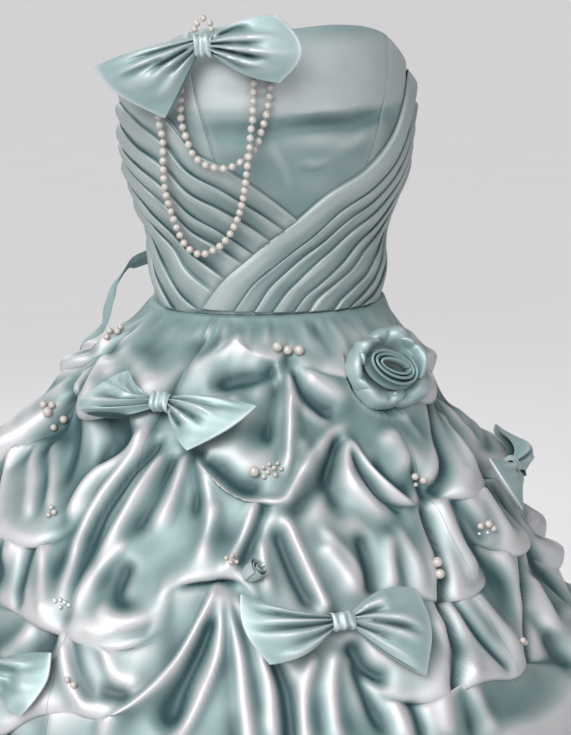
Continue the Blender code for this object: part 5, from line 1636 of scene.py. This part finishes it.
def make_bows() -> tuple[Bow, ...]:
    """The neckline bow, the hip bow, the lower bow, and the ones at the side and far left."""
    left, right = Side.LEFT, Side.RIGHT
    side_left = (Fold(0.30, 0.24, 0.10, 0.0040), Fold(0.52, 0.50, 0.08, -0.0045, end=0.65),
                 Fold(0.74, 0.80, 0.10, 0.0035))
    side_right = (Fold(0.26, 0.20, 0.10, 0.0040), Fold(0.48, 0.44, 0.08, -0.0045, end=0.70),
                  Fold(0.72, 0.78, 0.10, 0.0040, end=0.7))
    top = Bow("bow_top", -36.2, 0.2705, 0.016, 0.017, 0.022, (
        Loop(left, (-0.108, -0.021), (-0.039, -0.0685), 0.012, 0.024, (
            Fold(0.10, 0.05, 0.07, 0.0030, end=0.95), Fold(0.20, 0.17, 0.05, -0.0045, end=0.75),
            Fold(0.30, 0.30, 0.06, 0.0045, end=0.90), Fold(0.40, 0.36, 0.06, -0.0050, 0.30, 0.95),
            Fold(0.46, 0.52, 0.055, -0.0085, 0.05, 0.66), Fold(0.58, 0.64, 0.05, 0.0060, end=0.60),
            Fold(0.70, 0.74, 0.06, -0.0035, end=0.45), Fold(0.84, 0.86, 0.07, 0.0030, end=0.85)),
             arch_upper=0.004, arch_lower=-0.004),
        Loop(right, (0.070, 0.029), (0.072, -0.0335), 0.022, 0.022, (
            Fold(0.10, 0.14, 0.06, -0.0070, 0.05, 0.62), Fold(0.26, 0.30, 0.05, 0.0050, end=0.90),
            Fold(0.38, 0.42, 0.045, -0.0050, end=0.72), Fold(0.48, 0.56, 0.045, 0.0045, end=0.92),
            Fold(0.58, 0.68, 0.045, -0.0075, 0.02, 0.78), Fold(0.70, 0.80, 0.05, 0.0055, end=0.75),
            Fold(0.84, 0.90, 0.05, -0.0035, end=0.60)), arch_upper=0.006, arch_lower=-0.005)))
    hip = Bow("bow_hip", -37.0, -0.085, 0.016, 0.020, 0.020, (
        Loop(left, (-0.058, 0.020), (-0.060, -0.020), 0.006, 0.009, (
            Fold(0.12, 0.10, 0.07, 0.0030, end=0.95), Fold(0.30, 0.28, 0.05, -0.0040, end=0.90),
            Fold(0.45, 0.46, 0.06, 0.0042, end=0.95), Fold(0.60, 0.62, 0.045, -0.0042, end=0.80),
            Fold(0.78, 0.80, 0.07, 0.0030, end=0.95)), arch_upper=0.003, arch_lower=-0.003),
        Loop(left, (-0.040, 0.034), (-0.056, 0.018), 0.004, 0.004, (
            Fold(0.40, 0.42, 0.12, 0.0025), Fold(0.70, 0.72, 0.10, -0.0025)), arch_upper=0.004),
        Loop(right, (0.096, 0.008), (0.040, -0.046), 0.008, 0.013, (
            Fold(0.10, 0.08, 0.06, 0.0030, end=0.95), Fold(0.24, 0.26, 0.05, -0.0035, end=0.80),
            Fold(0.38, 0.44, 0.05, 0.0040, end=0.85), Fold(0.54, 0.62, 0.05, -0.0060, end=0.80),
            Fold(0.68, 0.74, 0.05, 0.0055, end=0.62), Fold(0.82, 0.84, 0.05, -0.0060, 0.05, 0.55)),
             arch_upper=0.004, arch_lower=-0.006)))
    low = Bow("bow_low", 8.4, -0.255, 0.018, 0.022, 0.018, (
        Loop(left, (-0.090, 0.036), (-0.074, -0.030), 0.010, 0.014, (
            Fold(0.08, 0.06, 0.05, 0.0030, end=1.0), Fold(0.22, 0.18, 0.05, -0.0050, end=0.95),
            Fold(0.34, 0.34, 0.05, 0.0035, end=0.85), Fold(0.48, 0.48, 0.06, -0.0075, end=1.0),
            Fold(0.66, 0.64, 0.05, 0.0050, end=0.75), Fold(0.80, 0.78, 0.05, -0.0030, end=0.70),
            Fold(0.92, 0.94, 0.05, 0.0035, end=0.95)), arch_upper=-0.004, arch_lower=-0.008),
        Loop(right, (0.078, 0.022), (0.070, -0.058), 0.010, 0.014, (
            Fold(0.14, 0.16, 0.07, 0.0060, 0.10, 0.60), Fold(0.30, 0.30, 0.04, -0.0085, 0.02, 0.48),
            Fold(0.42, 0.46, 0.05, 0.0045, end=0.98), Fold(0.52, 0.56, 0.035, -0.0050, 0.20, 1.0),
            Fold(0.66, 0.66, 0.05, 0.0055, end=0.95), Fold(0.74, 0.76, 0.04, -0.0070, end=0.55),
            Fold(0.90, 0.92, 0.05, 0.0030, end=0.95)), arch_upper=0.010, arch_lower=-0.004)))
    side = Bow("bow_side", 72.0, -0.192, 0.026, 0.020, 0.018, (
        Loop(left, (-0.070, 0.034), (-0.064, -0.030), 0.010, 0.014, side_left),
        Loop(right, (0.072, 0.030), (0.062, -0.034), 0.010, 0.014, side_right)))
    far = Bow("bow_far", -50.0, -0.306, 0.020, 0.020, 0.018, (
        Loop(left, (-0.074, 0.030), (-0.068, -0.034), 0.010, 0.014, side_left),
        Loop(right, (0.068, 0.028), (0.060, -0.034), 0.010, 0.014, side_right)))
    return top, hip, low, side, far


# ---------------------------------------------------------------- rose and bud
@dataclass(frozen=True)
class Petal:
    """A turned-over length of satin round the rose. Angles run anticlockwise from the right."""

    centre: float
    half_span: float
    inner: float
    outer: float
    low: float
    crest: float
    roll: float = 0.006
    corner: float = 0.0


@dataclass
class Rose:
    """A coiled ribbon heart inside turned-over petals."""

    place: tuple[float, float] = (41.3, -0.0620)
    turns: float = 3.2
    thickness: float = 0.0007
    petals: tuple[Petal, ...] = (
        Petal(172.0, 58.0, 0.0275, 0.0440, 0.006, 0.018, 0.005, 0.05),
        Petal(134.0, 34.0, 0.0250, 0.0410, 0.010, 0.017, 0.002, 0.18),
        Petal(236.0, 60.0, 0.0240, 0.0440, 0.004, 0.016, 0.007, 0.12),
        Petal(322.0, 52.0, 0.0280, 0.0490, 0.001, 0.013, 0.003, 0.22),
        Petal(16.0, 44.0, 0.0310, 0.0455, 0.006, 0.017, 0.002, 0.08),
        Petal(58.0, 46.0, 0.0270, 0.0490, 0.002, 0.016, 0.003, 0.20))
    shift: float = 0.0
    raised: float = 0.004

    def axes(self) -> tuple[Array, Array, Array, Array]:
        """Place and directions of the rose, whose face is turned to the front."""
        place, _, _, away = SKIRT_FORM.axes(*self.place)
        out = unit(away * 0.50 + np.array((0.05, -0.92, 0.30)) * 0.50)
        right = unit(np.cross(np.array((0.0, 0.0, 1.0)), out))
        return place + away * self.shift + out * self.raised, right, np.cross(out, right), out

    def lay_out(self, skirt: Skirt) -> list[Array]:
        """Set the rose on the cloth and return the disc that presses on it."""
        place, right, up, out = self.axes()
        spots = [place + 0.030 * (math.cos(a) * right + math.sin(a) * up) for a in np.linspace(0, math.tau, 9)[:-1]]
        self.shift = min(0.010, float(np.mean([(skirt.clear(spot, 0.0) - spot) @ out for spot in spots])))
        place, right, up, out = self.axes()
        angle, reach = np.meshgrid(np.linspace(0, math.tau, 25), np.linspace(0.0, 0.044, 8))
        return [place + right * (reach * np.cos(angle))[..., None] + up * (reach * np.sin(angle))[..., None]
                + out * 0.003]

    def heart_grid(self) -> Array:
        """The coiled ribbon, its rolled edge at the top."""
        place, right, up, out = self.axes()
        rows = np.array((0.06, 0.0, -0.02, 0.0, 0.06, 0.16, 0.32, 0.52, 0.72, 0.88, 1.0))
        flare = 0.001 * np.array((1.3, 1.1, 0.5, 0.0, -0.3, -0.7, -1.1, -1.2, -0.6, 1.2, 4.0))
        angle = np.linspace(0.25, math.tau * self.turns, 420)
        n = angle / math.tau
        tilt = np.radians(-24.0 - 2.0 * n)
        wide = 0.0125 + 0.0047 * n + 0.0006 * np.sin(angle * 0.71 + 1)
        tall = 0.0036 + 0.0043 * n + 0.0007 * np.sin(angle * 0.63 + 2)
        points = np.zeros((len(rows), len(angle), 3))
        for i, (t, more) in enumerate(zip(rows, flare)):
            x, y = (wide + more) * np.cos(angle), (tall + more) * np.sin(angle)
            x, y = x + 0.0036 - 0.0012 * n, y + 0.0012 - 0.0004 * n
            turned_x, turned_y = x * np.cos(tilt) - y * np.sin(tilt), x * np.sin(tilt) + y * np.cos(tilt)
            top = 0.0245 + 0.0004 * n + 0.0011 * np.sin(angle * 1.3) + 0.0010 * np.cos(angle * 0.55)
            level = top - 0.0130 * t
            points[i] = (place + turned_x[:, None] * right + turned_y[:, None] * up + level[:, None] * out)
        return points

    def petal_grid(self, petal: Petal) -> Array:
        """One petal, from its foot over its crest to its rolled lip."""
        place, right, up, out = self.axes()
        u, v = np.meshgrid(np.concatenate((np.linspace(0, 0.9, 22), (0.94, 0.97, 0.99, 1.0))),
                           np.linspace(-1, 1, 64), indexing="ij")
        swell = np.cos(math.pi / 2 * v * 0.96) ** 0.65
        angle = np.radians(petal.centre + petal.half_span * v)
        corner = 1 + petal.corner * np.exp(-(v / 0.22) ** 2) * u
        reach = petal.inner + (petal.outer - petal.inner) * u * (0.40 + 0.60 * swell) * corner
        rise = np.sin(math.pi * np.clip(0.06 + 0.78 * u, 0, 1)) * (0.45 + 0.55 * swell)
        level = petal.low + petal.crest * rise - petal.roll * np.clip((u - 0.75) / 0.25, 0, 1) ** 2
        crease = 0.0012 * np.sin(v * 7.0 + petal.centre) * u * (1 - u) * 4
        crease = crease - 0.0022 * np.exp(-((v - 0.35) / 0.10) ** 2) * np.sin(math.pi * u)
        level = level + crease
        squeeze = 1.04 * np.cos(angle), 0.94 * np.sin(angle)
        return (place + (reach * squeeze[0])[..., None] * right + (reach * squeeze[1])[..., None] * up
                + level[..., None] * out)

    def build(self, wardrobe: Wardrobe) -> None:
        """Make the heart and the petals."""
        grid = self.heart_grid()
        cloth = ClothPiece("rose_heart_satin", grid, self.thickness, fold_reach=2, fold_full=0.0012)
        piece = dress(cloth.build(wardrobe.trim), "trim_satin", "rose_heart")
        declare_sheet(piece, grid)
        for k, petal in enumerate(self.petals):
            grid = self.petal_grid(petal)
            name = f"rose_petal_{k + 1}"
            cloth = ClothPiece(name + "_satin", grid, self.thickness, fold_reach=4, fold_full=0.0022)
            piece = dress(cloth.build(wardrobe.trim), "trim_satin", name)
            declare_sheet(piece, grid)


@dataclass
class Bud:
    """A small rolled bud of satin, tacked to the skirt."""

    bud_place: tuple[float, float] = (-6.2, -0.2035)

    def bud_grid(self, skirt: Skirt) -> Array:
        """The rolled ribbon of the bud."""
        place, right, up, out = SKIRT_FORM.axes(*self.bud_place)
        place = skirt.clear(place, 0.002) + 0.0075 * out
        axis = unit(0.62 * right + 0.34 * up + 0.70 * out)
        right = unit(np.cross(up, axis))
        up = np.cross(axis, right)
        angle, t = np.meshgrid(np.linspace(0.2, math.tau * 2.6, 170),
                               np.array((0.05, 0.0, 0.06, 0.2, 0.4, 0.6, 0.8, 0.92, 1.0)))
        turns = angle / math.tau
        lip = 0.0010 * np.exp(-(t / 0.06) ** 2) + 0.0014 * np.sin(math.pi * t) - 0.0020 * t
        reach = 0.0020 + 0.0031 * turns + lip + 0.0006 * np.sin(2.3 * angle)
        level = 0.0105 - 0.0016 * turns - 0.0170 * t + 0.0008 * np.sin(1.7 * angle)
        return (place + (reach * np.cos(angle))[..., None] * right
                + (reach * np.sin(angle))[..., None] * up + level[..., None] * axis)

    def build(self, wardrobe: Wardrobe, skirt: Skirt) -> None:
        """Make the bud."""
        grid = self.bud_grid(skirt)
        level = np.full(grid.shape[:2], 0.5)
        cloth = ClothPiece("bud", grid, 0.0006, depth=0.0 * level, crest=level)
        piece = dress(cloth.build(wardrobe.trim), "trim_satin")
        declare_sheet(piece, grid)


# ---------------------------------------------------------------- pearls
@dataclass(frozen=True)
class Bead:
    """A bead of a cluster: how far right and up of its place, and its diameter, in metres."""

    right: float
    up: float
    diameter: float


@dataclass(frozen=True)
class Cluster:
    """Pearls or beads sewn on together at a tack."""

    name: str
    azimuth: float
    height: float
    beads: tuple[Bead, ...]
    node: str | None = None
    stand_off: float = 0.0


def beads(*rows: tuple[float, float, float]) -> tuple[Bead, ...]:
    """Beads from rows of right, up and diameter in millimetres."""
    return tuple(Bead(*(0.001 * value for value in row)) for row in rows)


def pearl_template() -> Template:
    """A pearl one metre across, for scaling."""
    deselect()
    bpy.ops.mesh.primitive_uv_sphere_add(segments=18, ring_count=10, radius=0.5, location=(0, 0, 0))
    return Template.taken_from(bpy.context.active_object)


@dataclass
class Beading:
    """Pearl clusters on the skirt and above the neckline bow's knot."""

    clusters: tuple[Cluster, ...] = (
        Cluster("pearls_front", 1.5, -0.0345, beads((-10.6, 2.6, 10.0), (0.0, 0.2, 9.6), (10.8, -1.8, 10.2)),
                "pearl_row"),
        Cluster("pearls_side", -80.3, -0.0385, beads((-2.0, 9.5, 6.4), (2.0, 4.2, 7.0), (-3.0, -0.6, 7.6),
                                                     (1.5, -7.0, 6.8)), "pearl_side_cluster"),
        Cluster("pearls_centre", -4.6, -0.1345, beads((-8.0, 2.0, 10.5), (1.0, 6.0, 4.6), (5.0, 1.0, 5.0), (7.0, 9.0, 4.4),
                                                      (11.0, 5.0, 4.8), (15.0, 10.0, 4.2), (18.0, 4.0, 4.6),
                                                      (12.0, -2.0, 4.4), (1.0, -3.0, 5.2)), "pearl_spray"),
        Cluster("pearls_far_left", -74.0, -0.115, beads((0.0, 0.0, 10.5), (-7.5, 3.5, 8.0), (6.5, 4.0, 8.5),
                                                        (-1.0, 8.0, 7.5), (4.0, -8.5, 7.0)),
                "pearl_far_left"),
        Cluster("pearls_right_upper", 37.4, -0.157, beads((-1.5, 4.5, 7.6), (4.5, -2.0, 8.0), (-4.5, -3.0, 4.5)),
                "pearl_right_upper"),
        Cluster("pearls_right_edge", 48.1, -0.214, beads((-6.0, 3.0, 7.0), (1.5, 1.0, 8.0), (6.0, -5.0, 7.0)),
                "pearl_right_edge"),
        Cluster("pearls_right_lower", 31.3, -0.229, beads((0.0, 5.6, 10.0), (1.0, -5.6, 10.0)),
                "pearl_right_lower"),
        Cluster("pearls_left_middle", -52.5, -0.1800, beads((-2.5, 3.5, 5.6), (3.0, 0.0, 6.0), (-1.0, -4.5, 5.0))),
        Cluster("pearls_top_bow", -36.2, 0.2705, beads((-9.5, 10.5, 6.0), (-7.5, 16.0, 6.0), (-1.5, 21.0, 6.2),
                                                       (5.0, 16.6, 6.0), (6.8, 11.0, 5.6)),
                stand_off=0.0240),
        Cluster("pearls_rose", 41.3, -0.0620, beads((32.0, -12.0, 6.4), (-8.0, -30.0, 6.8)), stand_off=0.0225),
        Cluster("pearls_bud", -10.5, -0.2005, beads((-5.0, 2.0, 4.6), (0.5, 4.0, 4.0), (-1.0, -2.5, 5.0),
                                                    (4.5, -1.0, 4.2))),
        Cluster("pearls_low_left", -34.8, -0.306, beads((-3.0, 2.0, 6.0), (3.5, -1.5, 6.5))),
        Cluster("pearls_low_right", 43.0, -0.312, beads((-3.0, 1.5, 6.5), (3.5, -2.0, 6.0))))
    clear_beads: tuple[Cluster, ...] = (
        Cluster("beads_left", -40.5, -0.248, beads((-7.0, 2.0, 4.6), (-2.0, 4.0, 4.4), (3.0, 2.5, 4.6), (8.0, 1.0, 4.2),
                                                   (0.0, -2.5, 4.8))),
        Cluster("beads_right_edge", 48.1, -0.214, beads((-8.0, -3.0, 3.4), (0.0, -6.0, 3.4), (6.0, 3.0, 3.2))))

    @staticmethod
    def places(cluster: Cluster, skirt: Skirt) -> list[tuple[Array, Array, float]]:
        """Where a cluster's beads go."""
        form = BODICE_FORM if cluster.height > 0 else SKIRT_FORM
        place, right, up, out = form.axes(cluster.azimuth, cluster.height)
        spots = []
        for k, bead in enumerate(cluster.beads):
            spot = place + right * bead.right + up * bead.up
            if cluster.stand_off:
                spot = spot + out * cluster.stand_off
            else:
                spot = skirt.rest_on(spot, out, bead.diameter * 0.40)
            spots.append((spot, turned_axes(37.0 * k, 23.0 * k), bead.diameter))
        return spots

    def build(self, wardrobe: Wardrobe, skirt: Skirt) -> None:
        """Make every cluster."""
        pearl = pearl_template()
        for cluster in self.clusters:
            piece = pearl.repeat(cluster.name, self.places(cluster, skirt), wardrobe.pearl)
            dress(piece, "pearl", *([cluster.node] if cluster.node else []))
        for cluster in self.clear_beads:
            dress(pearl.repeat(cluster.name, self.places(cluster, skirt), wardrobe.crystal), "pearl")


@dataclass(frozen=True)
class StrandPoint:
    """A place on a pearl strand, and how far it rides over another strand."""

    azimuth: float
    height: float
    over: float = 0.0


@dataclass
class Strand:
    """Pearls strung on a thread that hangs from behind the neckline bow."""

    name: str
    points: tuple[StrandPoint, ...]
    low_lift: float                  # over the wraps
    high_lift: float                 # over the bodice
    pearl: float = 0.0075
    pitch: float = 0.0087
    thread: float = 0.0012

    def route(self, count: int = 400) -> Array:
        """The strand's middle line."""
        spots = np.linspace(0.0, 1.0, len(self.points))
        s = np.linspace(0.0, 1.0, count)
        azimuth, height, over = (smooth_through(spots, [getattr(point, column) for point in self.points], s)
                                 for column in ("azimuth", "height", "over"))
        over_wrap = 1 - smooth_step((height - 0.150) / 0.040)
        return BODICE_FORM.point(azimuth, height, self.high_lift + (self.low_lift - self.high_lift) * over_wrap + over)

    def build(self, wardrobe: Wardrobe) -> None:
        """Make the thread and its pearls."""
        line = self.route()
        gone = np.concatenate(([0.0], np.cumsum(np.linalg.norm(np.diff(line, axis=0), axis=1))))
        length = float(gone[-1])
        data = bpy.data.curves.new(self.name + "_thread", "CURVE")
        data.dimensions = "3D"
        data.bevel_depth = self.thread / 2
        data.bevel_resolution = 2
        data.use_fill_caps = True
        spline = data.splines.new("POLY")
        few = line[::4] if len(line) % 4 == 1 else np.concatenate((line[::4], line[-1:]))
        spline.points.add(len(few) - 1)
        for point, place in zip(spline.points, few):
            point.co = (*place, 1.0)
        data.materials.append(wardrobe.thread)
        thread = bpy.data.objects.new(self.name + "_thread", data)
        bpy.context.scene.collection.objects.link(thread)
        count = int(length / self.pitch)
        places = []
        for k in range(count):
            at = (k + 0.5) * length / count
            centre = np.array([np.interp(at, gone, line[:, axis]) for axis in range(3)])
            size = self.pearl * (1 + 0.035 * math.sin(2.3 * k + len(self.name)))
            places.append((centre, turned_axes(47.0 * k, 31.0 * k), size))
        pearls = pearl_template().repeat(self.name + "_pearls", places, wardrobe.pearl)
        dress(pearls, "pearl", self.name)
        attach(thread, BODY)
        LOG.info("%s: %.3f m, %d pearls", self.name, length, count)


def strand_points(*rows: tuple[float, float, float]) -> tuple[StrandPoint, ...]:
    """Strand points from rows of azimuth, height and lift over the other strand."""
    return tuple(StrandPoint(*row) for row in rows)


def make_strands() -> tuple[Strand, Strand]:
    """The short strand and the long one."""
    short = Strand("strand_short", strand_points(
        (-47.5, 0.2400, 0.0), (-46.4, 0.2216, 0.0), (-45.9, 0.1958, 0.001), (-43.7, 0.1805, 0.0015),
        (-40.6, 0.1651, 0.0), (-35.0, 0.1556, 0.0), (-27.6, 0.1530, 0.0), (-20.8, 0.1601, 0.0), (-15.3, 0.1730, 0.0),
        (-12.8, 0.1895, 0.0), (-10.4, 0.2069, 0.0), (-8.4, 0.2369, 0.0), (-8.2, 0.2440, 0.0)), 0.0150, 0.0060)
    long = Strand("strand_long", strand_points(
        (-54.2, 0.2050, 0.0060), (-53.6, 0.1958, 0.0085), (-53.2, 0.1604, 0.0), (-54.2, 0.1250, 0.0),
        (-54.1, 0.0990, 0.0), (-51.8, 0.0733, 0.0), (-45.6, 0.0637, 0.0), (-40.6, 0.0653, 0.0), (-32.2, 0.0764, 0.0),
        (-24.8, 0.0996, 0.0), (-20.2, 0.1279, 0.004), (-17.6, 0.1641, 0.0090), (-16.9, 0.1876, 0.0090),
        (-16.2, 0.2040, 0.004), (-15.9, 0.2427, 0.0), (-15.8, 0.2470, 0.0)), 0.0160, 0.0062)
    return short, long


# ---------------------------------------------------------------- ribbon tie
@dataclass(frozen=True)
class TailPoint:
    """A place along a ribbon tail: its middle, how far it is twisted in degrees and its width's share."""

    x: float
    y: float
    z: float
    twist: float = 0.0
    width: float = 1.0


@dataclass
class RibbonTie:
    """A ribbon round the back waist, knotted, with two free ends."""

    width: float = 0.015
    thickness: float = 0.0006
    lift: float = 0.0115
    height: float = 0.034
    left: tuple[TailPoint, ...] = (
        TailPoint(-0.010, 0.1010, 0.030), TailPoint(-0.050, 0.1000, 0.034), TailPoint(-0.096, 0.0800, 0.036),
        TailPoint(-0.134, 0.0560, 0.030, 0.0), TailPoint(-0.150, 0.0600, 0.012, 10.0, 0.9),
        TailPoint(-0.159, 0.0680, -0.012, 75.0, 0.6), TailPoint(-0.166, 0.0800, -0.040, 30.0, 1.0),
        TailPoint(-0.174, 0.0940, -0.066, -5.0, 1.1), TailPoint(-0.190, 0.1140, -0.104, 10.0, 1.0),
        TailPoint(-0.208, 0.1320, -0.142, 15.0, 1.0))
    right: tuple[TailPoint, ...] = (
        TailPoint(0.004, 0.1010, 0.018), TailPoint(0.012, 0.1160, 0.000), TailPoint(0.020, 0.1440, -0.030, 10.0),
        TailPoint(0.028, 0.1760, -0.064, -5.0), TailPoint(0.036, 0.2120, -0.100, 8.0),
        TailPoint(0.044, 0.2520, -0.140), TailPoint(0.050, 0.2900, -0.182))

    def strip(self, points: Sequence[TailPoint], skirt: Skirt | None, columns: int = 110) -> Array:
        """A ribbon along its points, facing away from the gown."""
        keys = np.linspace(0.0, 1.0, len(points))
        s = np.linspace(0.0, 1.0, columns)
        x, y, z, twist, share = (smooth_through(keys, [getattr(point, column) for point in points], s)
                                 for column in ("x", "y", "z", "twist", "width"))
        line = np.stack((x, y, z), axis=1)
        along = unit(np.gradient(line, axis=0))
        out = unit(line * np.array((1.0, 1.0, 0.0)))
        across = unit(np.cross(along, out))
        face = unit(np.cross(across, along))
        angle = np.radians(twist)[:, None]
        over = across * np.cos(angle) + face * np.sin(angle)
        v = np.linspace(-0.5, 0.5, 9)
        grid = line[None] + over[None] * (v[:, None] * self.width * share[None])[..., None]
        cup = 0.0010 * np.cos(2 * math.pi * v)[:, None] * np.sin(9 * s + 1)[None]
        grid = grid + face[None] * cup[..., None]
        if skirt:
            for j in range(columns):
                if line[j, 2] < 0:
                    needs = max((skirt.clear(spot, 0.004) - spot) @ out[j] for spot in grid[:, j])
                    grid[:, j] += out[j] * needs
        return grid

    def build(self, wardrobe: Wardrobe, skirt: Skirt) -> None:
        """Make the band, the knot and the two tails."""
        around_back = [BODICE_FORM.point(a, self.height, self.lift) for a in np.linspace(112.0, 248.0, 9)]
        band = self.strip([TailPoint(*spot) for spot in around_back], None, 160)
        pieces = (("ribbon_band", band), ("ribbon_tail_left", self.strip(self.left, skirt)),
                  ("ribbon_tail_right", self.strip(self.right, skirt)))
        for name, grid in pieces:
            cloth = ClothPiece(name + "_satin", grid, self.thickness, fold_reach=2, fold_full=0.002)
            piece = dress(cloth.build(wardrobe.trim), "trim_satin", name)
            declare_sheet(piece, grid)
        turn, x = np.meshgrid(np.radians(np.linspace(-125, 125, 26)), np.linspace(-1, 1, 18), indexing="ij")
        centre = BODICE_FORM.point(180.0, 0.032, self.lift + 0.0060)
        tall = 0.0095 * (1 - 0.08 * np.cos(math.pi * x / 2)) + 0.0004 * np.cos(6 * x + turn)
        knot = (centre + np.stack((-0.0080 * x, 0.0065 * np.cos(turn) - 0.0008 * x ** 2, -tall * np.sin(turn)),
                                  axis=-1))
        cloth = ClothPiece("ribbon_knot_satin", knot, self.thickness, fold_reach=2, fold_full=0.001)
        piece = dress(cloth.build(wardrobe.trim), "trim_satin", "ribbon_knot")
        declare_sheet(piece, knot)


# ---------------------------------------------------------------- setting
@dataclass(frozen=True)
class Lamp:
    """A soft rectangular light."""

    name: str
    place: tuple[float, float, float]
    size: tuple[float, float]
    power: float
    aim: tuple[float, float, float] = (0.0, 0.0, -0.10)
    colour: Colour = (1.0, 1.0, 1.0)

    def build(self) -> None:
        """Hang the light."""
        data = bpy.data.lights.new(self.name, "AREA")
        data.shape = "RECTANGLE"
        data.size, data.size_y = self.size
        data.energy = self.power
        data.color = self.colour
        lamp = bpy.data.objects.new(self.name, data)
        bpy.context.scene.collection.objects.link(lamp)
        lamp.location = self.place
        aim = Vector(self.aim) - Vector(self.place)
        lamp.rotation_euler = aim.to_track_quat("-Z", "Y").to_euler()


@dataclass
class Studio:
    """Camera, soft lights and a pale floor."""

    distance: float = 1.90
    height: float = 0.40
    down: float = 14.1               # degrees
    turn: float = -11.0              # degrees round the gown
    focal_pixels: float = 1845.0
    picture_width: float = 571.0
    axis_pixel: float = 267.0
    floor_level: float = -1.0305
    floor_size: float = 60.0
    sky: Colour = (0.80, 0.82, 0.83)
    sky_power: float = 0.24
    sun_power: float = 3.1
    sun_spread: float = 52.0         # degrees
    sun_place: tuple[float, float, float] = (-1.35, -1.75, 1.75)
    lamps: tuple[Lamp, ...] = (
        Lamp("key", (-1.35, -1.75, 1.45), (1.0, 1.0), 12.0, colour=(1.0, 0.97, 0.97)),
        Lamp("front", (0.55, -1.90, 0.35), (0.6, 1.5), 6.5, (0.0, 0.0, 0.1), (1.0, 0.97, 0.98)),
        Lamp("rim", (1.6, 1.2, 1.3), (0.5, 1.2), 4.0),
        Lamp("back", (-0.7, 2.4, 1.3), (1.4, 1.4), 22.0, (0.0, 0.0, -0.3)))

    def camera(self) -> None:
        """Place the camera."""
        a, p = math.radians(self.turn), math.radians(self.down)
        right = Vector((math.cos(a), math.sin(a), 0.0))
        ahead = Vector((-math.sin(a), math.cos(a), 0.0)) * math.cos(p) + Vector((0, 0, -1)) * math.sin(p)
        up = right.cross(ahead)
        data = bpy.data.cameras.new("camera")
        data.sensor_fit = "HORIZONTAL"
        data.sensor_width = 36.0
        data.lens = 36.0 * self.focal_pixels / self.picture_width
        camera = bpy.data.objects.new("camera", data)
        bpy.context.scene.collection.objects.link(camera)
        aside = (self.picture_width / 2 - self.axis_pixel) * self.distance / self.focal_pixels
        matrix = Matrix((right, up, -ahead)).transposed().to_4x4()
        matrix.translation = Vector((self.distance * math.sin(a), -self.distance * math.cos(a), self.height))
        matrix.translation += right * aside
        camera.matrix_world = matrix
        bpy.context.scene.camera = camera

    def build(self, wardrobe: Wardrobe) -> None:
        """Set up floor, lights and world."""
        deselect()
        bpy.ops.mesh.primitive_plane_add(size=self.floor_size, location=(0.0, 0.0, self.floor_level))
        floor = bpy.context.active_object
        floor.name = "floor"
        bpy.ops.object.transform_apply(location=True, rotation=True, scale=True)
        floor.data.materials.append(wardrobe.floor)
        for lamp in self.lamps:
            lamp.build()
        data = bpy.data.lights.new("sun", "SUN")
        data.energy = self.sun_power
        data.angle = math.radians(self.sun_spread)
        data.color = (1.0, 0.975, 0.975)
        sun = bpy.data.objects.new("sun", data)
        bpy.context.scene.collection.objects.link(sun)
        sun.location = self.sun_place
        sun.rotation_euler = (-Vector(self.sun_place)).to_track_quat("-Z", "Y").to_euler()
        world = bpy.data.worlds.new("studio")
        bpy.context.scene.world = world
        world.use_nodes = True
        surround = world.node_tree.nodes["Background"]
        surround.inputs["Color"].default_value = (*self.sky, 1.0)
        surround.inputs["Strength"].default_value = self.sky_power
        view = bpy.context.scene.view_settings
        view.view_transform = "Standard"


def main() -> None:
    """Load the frame and build every piece in order."""
    logging.basicConfig(level=logging.INFO, format="%(name)s: %(message)s")
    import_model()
    wardrobe = Wardrobe()
    studio = Studio()
    studio.camera()
    for strand in make_strands():
        strand.build(wardrobe)
    Bodice().build(wardrobe)
    for wrap in make_wraps():
        wrap.build(wardrobe)
    skirt = Skirt()
    skirt.shape_cloth()
    bows, rose = make_bows(), Rose()
    for trim in (*bows, rose):
        skirt.make_room(trim.lay_out(skirt))
    skirt.build(wardrobe)
    for bow in bows:
        bow.build(wardrobe, ["bodice_center_front"] if bow.height > 0 else ["skirt_front"])
    rose.build(wardrobe)
    Bud().build(wardrobe, skirt)
    Beading().build(wardrobe, skirt)
    RibbonTie().build(wardrobe, skirt)
    studio.build(wardrobe)
    deselect()


if __name__ == "__main__":
    main()
